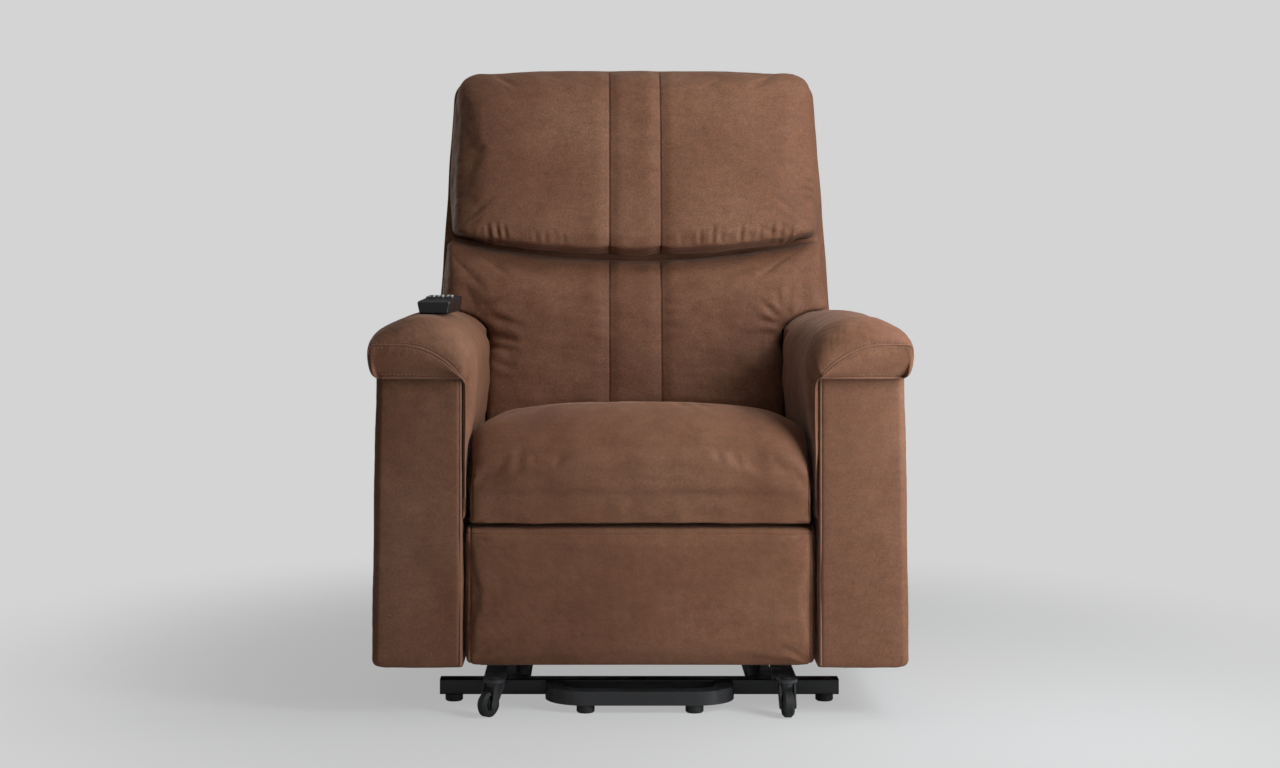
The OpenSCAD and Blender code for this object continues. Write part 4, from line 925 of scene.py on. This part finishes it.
def spline(points, u):
    """Smooth curve through the points, read at the shares u."""
    p = np.asarray(points, float)
    p = np.concatenate([[2 * p[0] - p[1]], p, [2 * p[-1] - p[-2]]])
    spot = np.asarray(u, float) * (len(p) - 3)
    k = np.clip(spot.astype(int), 0, len(p) - 4)
    t = (spot - k)[:, None]
    a, b, c, d = p[k], p[k + 1], p[k + 2], p[k + 3]
    return 0.5 * (2 * b + (c - a) * t + (2 * a - 5 * b + 4 * c - d) * t ** 2 + (3 * b - a - 3 * c + d) * t ** 3)


def arm_cover_points(u, t):
    """Points of the right arm's cover: u runs across the section, t from the front seam (0) to the rear (1)."""
    full, seam = spline(SECTION, u), spline(FRONT_SEAM, u)
    nose_share = smooth(seam[:, 1], 0.527, 0.543)
    start = NOSE + (FRONT - 0.0015 - NOSE) * (1 - nose_share)
    roll = 0.030 + 0.030 * nose_share
    t = np.atleast_1d(t)[:, None]
    turn = np.clip(t / NOSE_SHARE, 0, 1) * math.pi / 2
    share = np.sin(turn)
    x = seam[:, 0] + (full[:, 0] - seam[:, 0]) * share
    z = seam[:, 1] + (full[:, 1] - seam[:, 1]) * share
    straight = np.clip((t - NOSE_SHARE) / (1 - NOSE_SHARE), 0, 1)
    y = start + roll * (1 - np.cos(turn)) + (ARM_REAR - 0.002 - start - roll) * straight
    low = 1 - smooth(full[:, 1], 0.49, 0.54)
    x = x + (np.maximum(x, PAD_IN - 0.0002) - x) * smooth(y, 0.02 + 0.05 * low, 0.085 + 0.025 * low)
    y = y + drape_set_back(full[:, 1])
    top = smooth(full[:, 1], 0.555, 0.60)
    z = z - top * (arm_fall(y) + 0.022 * smooth(t, 0.93, 1.0))
    return np.stack([x, y, z], axis=-1)


def arm_cap_points(u, depth):
    """Points of the end cap: depth runs from the front seam (0) down to the cap's lower edge (1)."""
    seam = arm_cover_points(u, 0.0)[0]
    on_cap = smooth(seam[:, 2], 0.527, 0.540)[:, None]
    low = np.stack([np.clip(seam[:, 0], ARM_IN + 0.001, FRONT_SEAM[0][0]),
                    np.full(len(u), NOSE + 0.009), np.full(len(u), LIP)], axis=1)
    front = FRONT - 0.0008 + drape_set_back(seam[:, 2])
    side = np.stack([np.full(len(u), INNER_FACE), front, seam[:, 2]], axis=1)
    low = low * on_cap + side * (1 - on_cap)
    q = np.atleast_1d(depth)[:, None, None]
    points = seam * (1 - q) + low * q
    q = q[..., 0]
    points[..., 1] += (0.009 * (q ** 2.5 - q) - 0.0035 * np.sin(math.pi * q ** 0.8)) * on_cap[:, 0]
    return points


def arm_pad():
    """Cover of the right arm: end cap, nose, crown, outer lip and the padded inner side, over the arm's box."""
    u = np.linspace(0, 1, 141)
    t = np.concatenate([np.linspace(0, NOSE_SHARE, 24), np.linspace(0.172, 0.93, 54), np.linspace(0.94, 1, 9)])
    cap = arm_cap_points(u, np.linspace(1, 0, 12)[:-1])
    surface = np.concatenate([cap, arm_cover_points(u, t)])
    lip, outer = u < CORNER, 0.4190
    rows = len(surface)
    under = np.empty_like(surface)
    under[..., 0] = np.where(lip, outer + (INNER_FACE - outer) * u / CORNER, INNER_FACE)
    under[..., 2] = np.where(lip, ARM_TOP + 0.0006, ARM_TOP + (DRAPE_LOW - ARM_TOP) * (u - CORNER) / (1 - CORNER))
    start = np.where(lip, FRONT - 0.0065, FRONT + 0.008)
    along = np.clip((np.arange(rows) - 3) / (rows - 4), 0, 1)[:, None]
    under[..., 1] = start + (ARM_REAR - 0.003 - start) * along
    under[:3, lip, 2] = LIP
    under[0, lip, 1] = surface[0, lip, 1] + 0.0005
    under[1, lip, 1] = surface[0, lip, 1] + 0.004
    obj = two_sheet("arm_cover_right", surface, under, LEATHER)
    refine(obj)
    p = points_of(obj)
    n = normals_of(obj)
    high = smooth(p[:, 2], ARM_TOP + 0.012, ARM_TOP + 0.035)
    side = smooth(-p[:, 0], -0.279, -0.272) * smooth(p[:, 2], 0.43, 0.48)
    p += n * (0.0012 * noise(p, 0.12, 61) * np.maximum(high, side))[:, None]
    p += n * (0.0006 * noise(p, 0.035, 62) * high * smooth(-p[:, 1], 0.36, 0.44))[:, None]
    set_points(obj, p)
    return obj


def arm_seams():
    """Stitching beside the nose's arc and over the cap's lower edge, with the seam's cord and the welts, whose
    lighter leather is partly a painted highlight.
    """
    arc = np.linspace(0.27, 0.70, 120)
    proud = np.array((0, -0.0007, 0.0003))
    above = arm_cover_points(arc, 0.0115)[0]
    below = []
    for share in arc[:-8]:
        height = max(0.004, spline(FRONT_SEAM, [share])[0, 1] - LIP)
        below.append(arm_cap_points(np.array([share]), min(0.9, 0.0055 / height))[0, 0])
    cap_low = arm_cap_points(np.linspace(0.10, 0.66, 100), 0.9)[0]
    cap_low[:, 2] = LIP + 0.0060
    pieces = [stitches(f"arm_stitch_{name}_right", line + proud, THREAD, 0.0036, 0.0026, radius)
              for name, line, radius in (("above", above, 0.00042), ("below", below, 0.00042),
                                         ("cap", cap_low, 0.00038))]
    seam = arm_cover_points(np.linspace(0.20, 0.985, 160), 0.0)[0] + np.array((0, -0.0004, 0))
    pieces.append(tube("arm_arc_cord_right", resample(seam, 0.004), 0.0014, WELT_PAINTED_HIGHLIGHT))
    low = arm_cap_points(np.linspace(0.02, 0.69, 80), 1.0)[0] + np.array((0, -0.0002, 0.0004))
    pieces.append(tube("arm_cap_cord_right", resample(low, 0.004), 0.0015, WELT_PAINTED_HIGHLIGHT))
    inner = [(ARM_IN + 0.0018, FRONT - 0.0006, z) for z in (ARM_LOW + 0.004, ARM_TOP - 0.010)]
    pieces.append(tube("arm_welt_inner_right", resample(inner, 0.02), 0.0024, WELT_PAINTED_HIGHLIGHT))
    return pieces


def arms():
    """Both arms: the right one's pieces and their mirrored copies."""
    for obj in [arm_panel(), arm_pad()] + arm_seams():
        left = mirrored_copy(obj, obj.name.replace("_right", "_left"))
        for piece, side in ((obj, "right"), (left, "left")):
            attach(piece, "chassis")
            if piece.name.startswith("arm_panel"):
                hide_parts(f"arm_box_{side}")
            elif piece.name.startswith("arm_cover"):
                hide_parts(f"arm_pad_{side}")


# -------- back stitching
def surface_path(obj, xs, ws):
    """Drops points given in the backrest's frame onto the front of a cushion."""
    depsgraph = bpy.context.evaluated_depsgraph_get()
    found = []
    for x, w in zip(xs, ws):
        start = Vector(back_points(x, -0.30, w))
        toward = Vector(back_points(x, 0.0, w)) - start
        hit, place, normal, _ = obj.ray_cast(start, toward.normalized(), depsgraph=depsgraph)
        if hit:
            found.append(np.array(place + normal * 0.0004))
    return found


def back_stitching(upper, lower):
    """Thread down the channel's two seams on both cushions, darkened as painted shade of the seams' grooves."""
    for name, cushion, low, high in (("upper", upper, SPLIT - SAG - 0.006, BACK_TOP - 0.012),
                                     ("lower", lower, 0.19, SPLIT - 0.060)):
        for side, across in (("left", -CHANNEL), ("right", CHANNEL)):
            w = np.linspace(low, high, 160)
            path = surface_path(cushion, np.full_like(w, across), w)
            piece = stitches(f"back_stitch_{name}_{side}", path, THREAD_PAINTED_SHADE, radius=0.00045)
            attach(piece, "backrest")


# -------- handset marks
def handset_marks():
    """A pale inlay with a dark arrow on the far half of each rocker key, lying on its slope."""
    handset_slope = math.tan(math.radians(2))
    key_low, key_rise, key_start, key_reach = 0.0056, 0.0029, 0.003, 0.013

    def on_key(pin, forward, across, reach, side, proud):
        rise = key_low + key_rise * (reach - key_start) / key_reach + reach * handset_slope + proud
        return pin + forward * reach + across * side + Vector((0, 0, rise))

    # Outlines: reach from the key's pin, and place across it
    inlay = [(0.0035, -0.0050), (0.0030, -0.0042), (0.0030, 0.0042), (0.0035, 0.0050),
             (0.0152, 0.0050), (0.0158, 0.0042), (0.0158, -0.0042), (0.0152, -0.0050)]
    arrow = [(0.0058, -0.0012), (0.0058, 0.0012), (0.0092, 0.0012), (0.0092, 0.0030),
             (0.0136, 0.0), (0.0092, -0.0030), (0.0092, -0.0012)]
    for key in ("lift", "back", "foot"):
        joint = JOINTS[f"key_{key}_tilt"]
        pin, axis = Vector(joint["pos_m"]), Vector(joint["axis"])
        forward = Vector((-axis.y, axis.x, 0))
        for kind, outline, proud, material in (("inlay", inlay, 0.0002, MARK), ("arrow", arrow, 0.0005, PLASTIC)):
            verts = [on_key(pin, forward, axis, reach, side, proud) for reach, side in outline]
            face = tuple(range(len(verts)))
            obj = new_object(f"handset_{kind}_{key}", verts, [face], material, smooth_shade=False)
            modify(obj, "SOLIDIFY", thickness=0.0005, offset=0)
            apply_modifiers(obj)
            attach(obj, f"key_{key}")


# -------- studio
def sweep():
    """Floor that curves up into the backdrop, far enough behind to leave room for views from the rear."""
    front, rear, half, height, bend = -9.0, 6.5, 9.0, 9.0, 2.0
    rows = [(front, 0.0), (rear, 0.0)]
    for a in range(6, 91, 6):
        turn = math.radians(a)
        rows.append((rear + bend * math.sin(turn), bend - bend * math.cos(turn)))
    rows.append((rear + bend, height))
    verts = [(x, y, z) for y, z in rows for x in (-half, half)]
    faces = [(2 * k, 2 * k + 1, 2 * k + 3, 2 * k + 2) for k in range(len(rows) - 1)]
    return new_object("floor", verts, faces)


def softbox(name, place, target, size, power, tint=(1, 1, 1)):
    light = bpy.data.lights.new(name, "AREA")
    assign(light, shape="RECTANGLE", size=size[0], size_y=size[1], energy=power, color=tint)
    obj = linked(name, light)
    obj.location = place
    obj.rotation_euler = (Vector(target) - Vector(place)).to_track_quat("-Z", "Y").to_euler()


def studio():
    scene = bpy.context.scene
    camera_data = bpy.data.cameras.new("camera")
    camera = linked("camera", camera_data)
    # The photograph's camera: level, its axis to the left of the picture's middle and its horizon above it
    picture_width = 1280
    pixels_per_metre = 633
    distance = 3.5
    axis_column, middle_column = 605, 640
    horizon_row, middle_row = 230, 384
    camera.location = (-0.056, FRONT - distance, 0.77)
    camera.rotation_euler = (math.radians(90), 0, 0)
    camera_data.sensor_width = 36
    camera_data.lens = pixels_per_metre * distance * camera_data.sensor_width / picture_width
    camera_data.shift_x = (middle_column - axis_column) / picture_width
    camera_data.shift_y = (horizon_row - middle_row) / picture_width
    camera_data.clip_end = 60
    scene.camera = camera
    scene.view_settings.view_transform = "Standard"

    # Pale surroundings for the camera and for reflections, and hardly any light from them
    pale = (0.658, 0.658, 0.658)
    world = bpy.data.worlds.new("studio")
    scene.world = world
    world.use_nodes = True
    tree = world.node_tree
    ambient = tree.nodes["Background"]
    plug(tree, ambient.inputs["Color"], (0.93, 0.96, 1.0))
    plug(tree, ambient.inputs["Strength"], 0.03)
    seen = add_node(tree, "ShaderNodeBackground", {"Color": pale})
    rays = add_node(tree, "ShaderNodeLightPath", {}).outputs
    either = add_node(tree, "ShaderNodeMath", {0: rays["Is Camera Ray"], 1: rays["Is Glossy Ray"]},
                      operation="MAXIMUM")
    mix = add_node(tree, "ShaderNodeMixShader", {0: either.outputs[0], 1: ambient.outputs[0], 2: seen.outputs[0]})
    plug(tree, tree.nodes["World Output"].inputs["Surface"], mix.outputs[0])

    # The floor takes shadows near the chair and fades into the backdrop's even tone further out
    floor = sweep()
    material = bpy.data.materials.new("studio_floor")
    material.use_nodes = True
    tree = material.node_tree
    shader = tree.nodes["Principled BSDF"]
    for name, value in (("Base Color", (0.70, 0.70, 0.70)), ("Roughness", 0.45), ("Specular IOR Level", 0.25)):
        plug(tree, shader.inputs[name], value)
    glow = add_node(tree, "ShaderNodeEmission", {"Color": pale})
    rays = add_node(tree, "ShaderNodeLightPath", {}).outputs
    place = add_node(tree, "ShaderNodeTexCoord", {}).outputs["Object"]
    away = add_node(tree, "ShaderNodeVectorMath", {0: place}, operation="LENGTH").outputs["Value"]
    spread = add_node(tree, "ShaderNodeMapRange", {
        "Value": away, "From Min": 0.55, "From Max": 1.5, "To Min": 0.62, "To Max": 1.0,
    }, interpolation_type="SMOOTHSTEP")
    share = add_node(tree, "ShaderNodeMath", {0: rays["Is Camera Ray"], 1: spread.outputs["Result"]},
                     operation="MULTIPLY")
    mix = add_node(tree, "ShaderNodeMixShader", {0: share.outputs[0], 1: shader.outputs[0], 2: glow.outputs[0]})
    plug(tree, tree.nodes["Material Output"].inputs["Surface"], mix.outputs[0])
    floor.data.materials.append(material)

    softbox("key_right", (1.2, -1.1, 0.98), (0.1, -0.2, 0.5), (0.55, 1.2), 28, (0.96, 1.0, 1.03))
    softbox("rim_right", (1.0, -0.2, 1.7), (0.0, 0.1, 0.8), (0.5, 0.7), 8, (0.96, 1.0, 1.03))
    softbox("overhead", (0.0, -0.3, 2.6), (0, -0.1, 0.5), (1.4, 1.0), 5)
    softbox("rear_left", (-1.9, 1.9, 0.9), (-0.4, 0.2, 0.5), (1.2, 1.2), 9)


studio()
seat_cushion()
foot_pad()
upper = upper_cushion()
lower = lower_cushion()
back_shell()
back_deck()
arms()
back_stitching(upper, lower)
handset_marks()
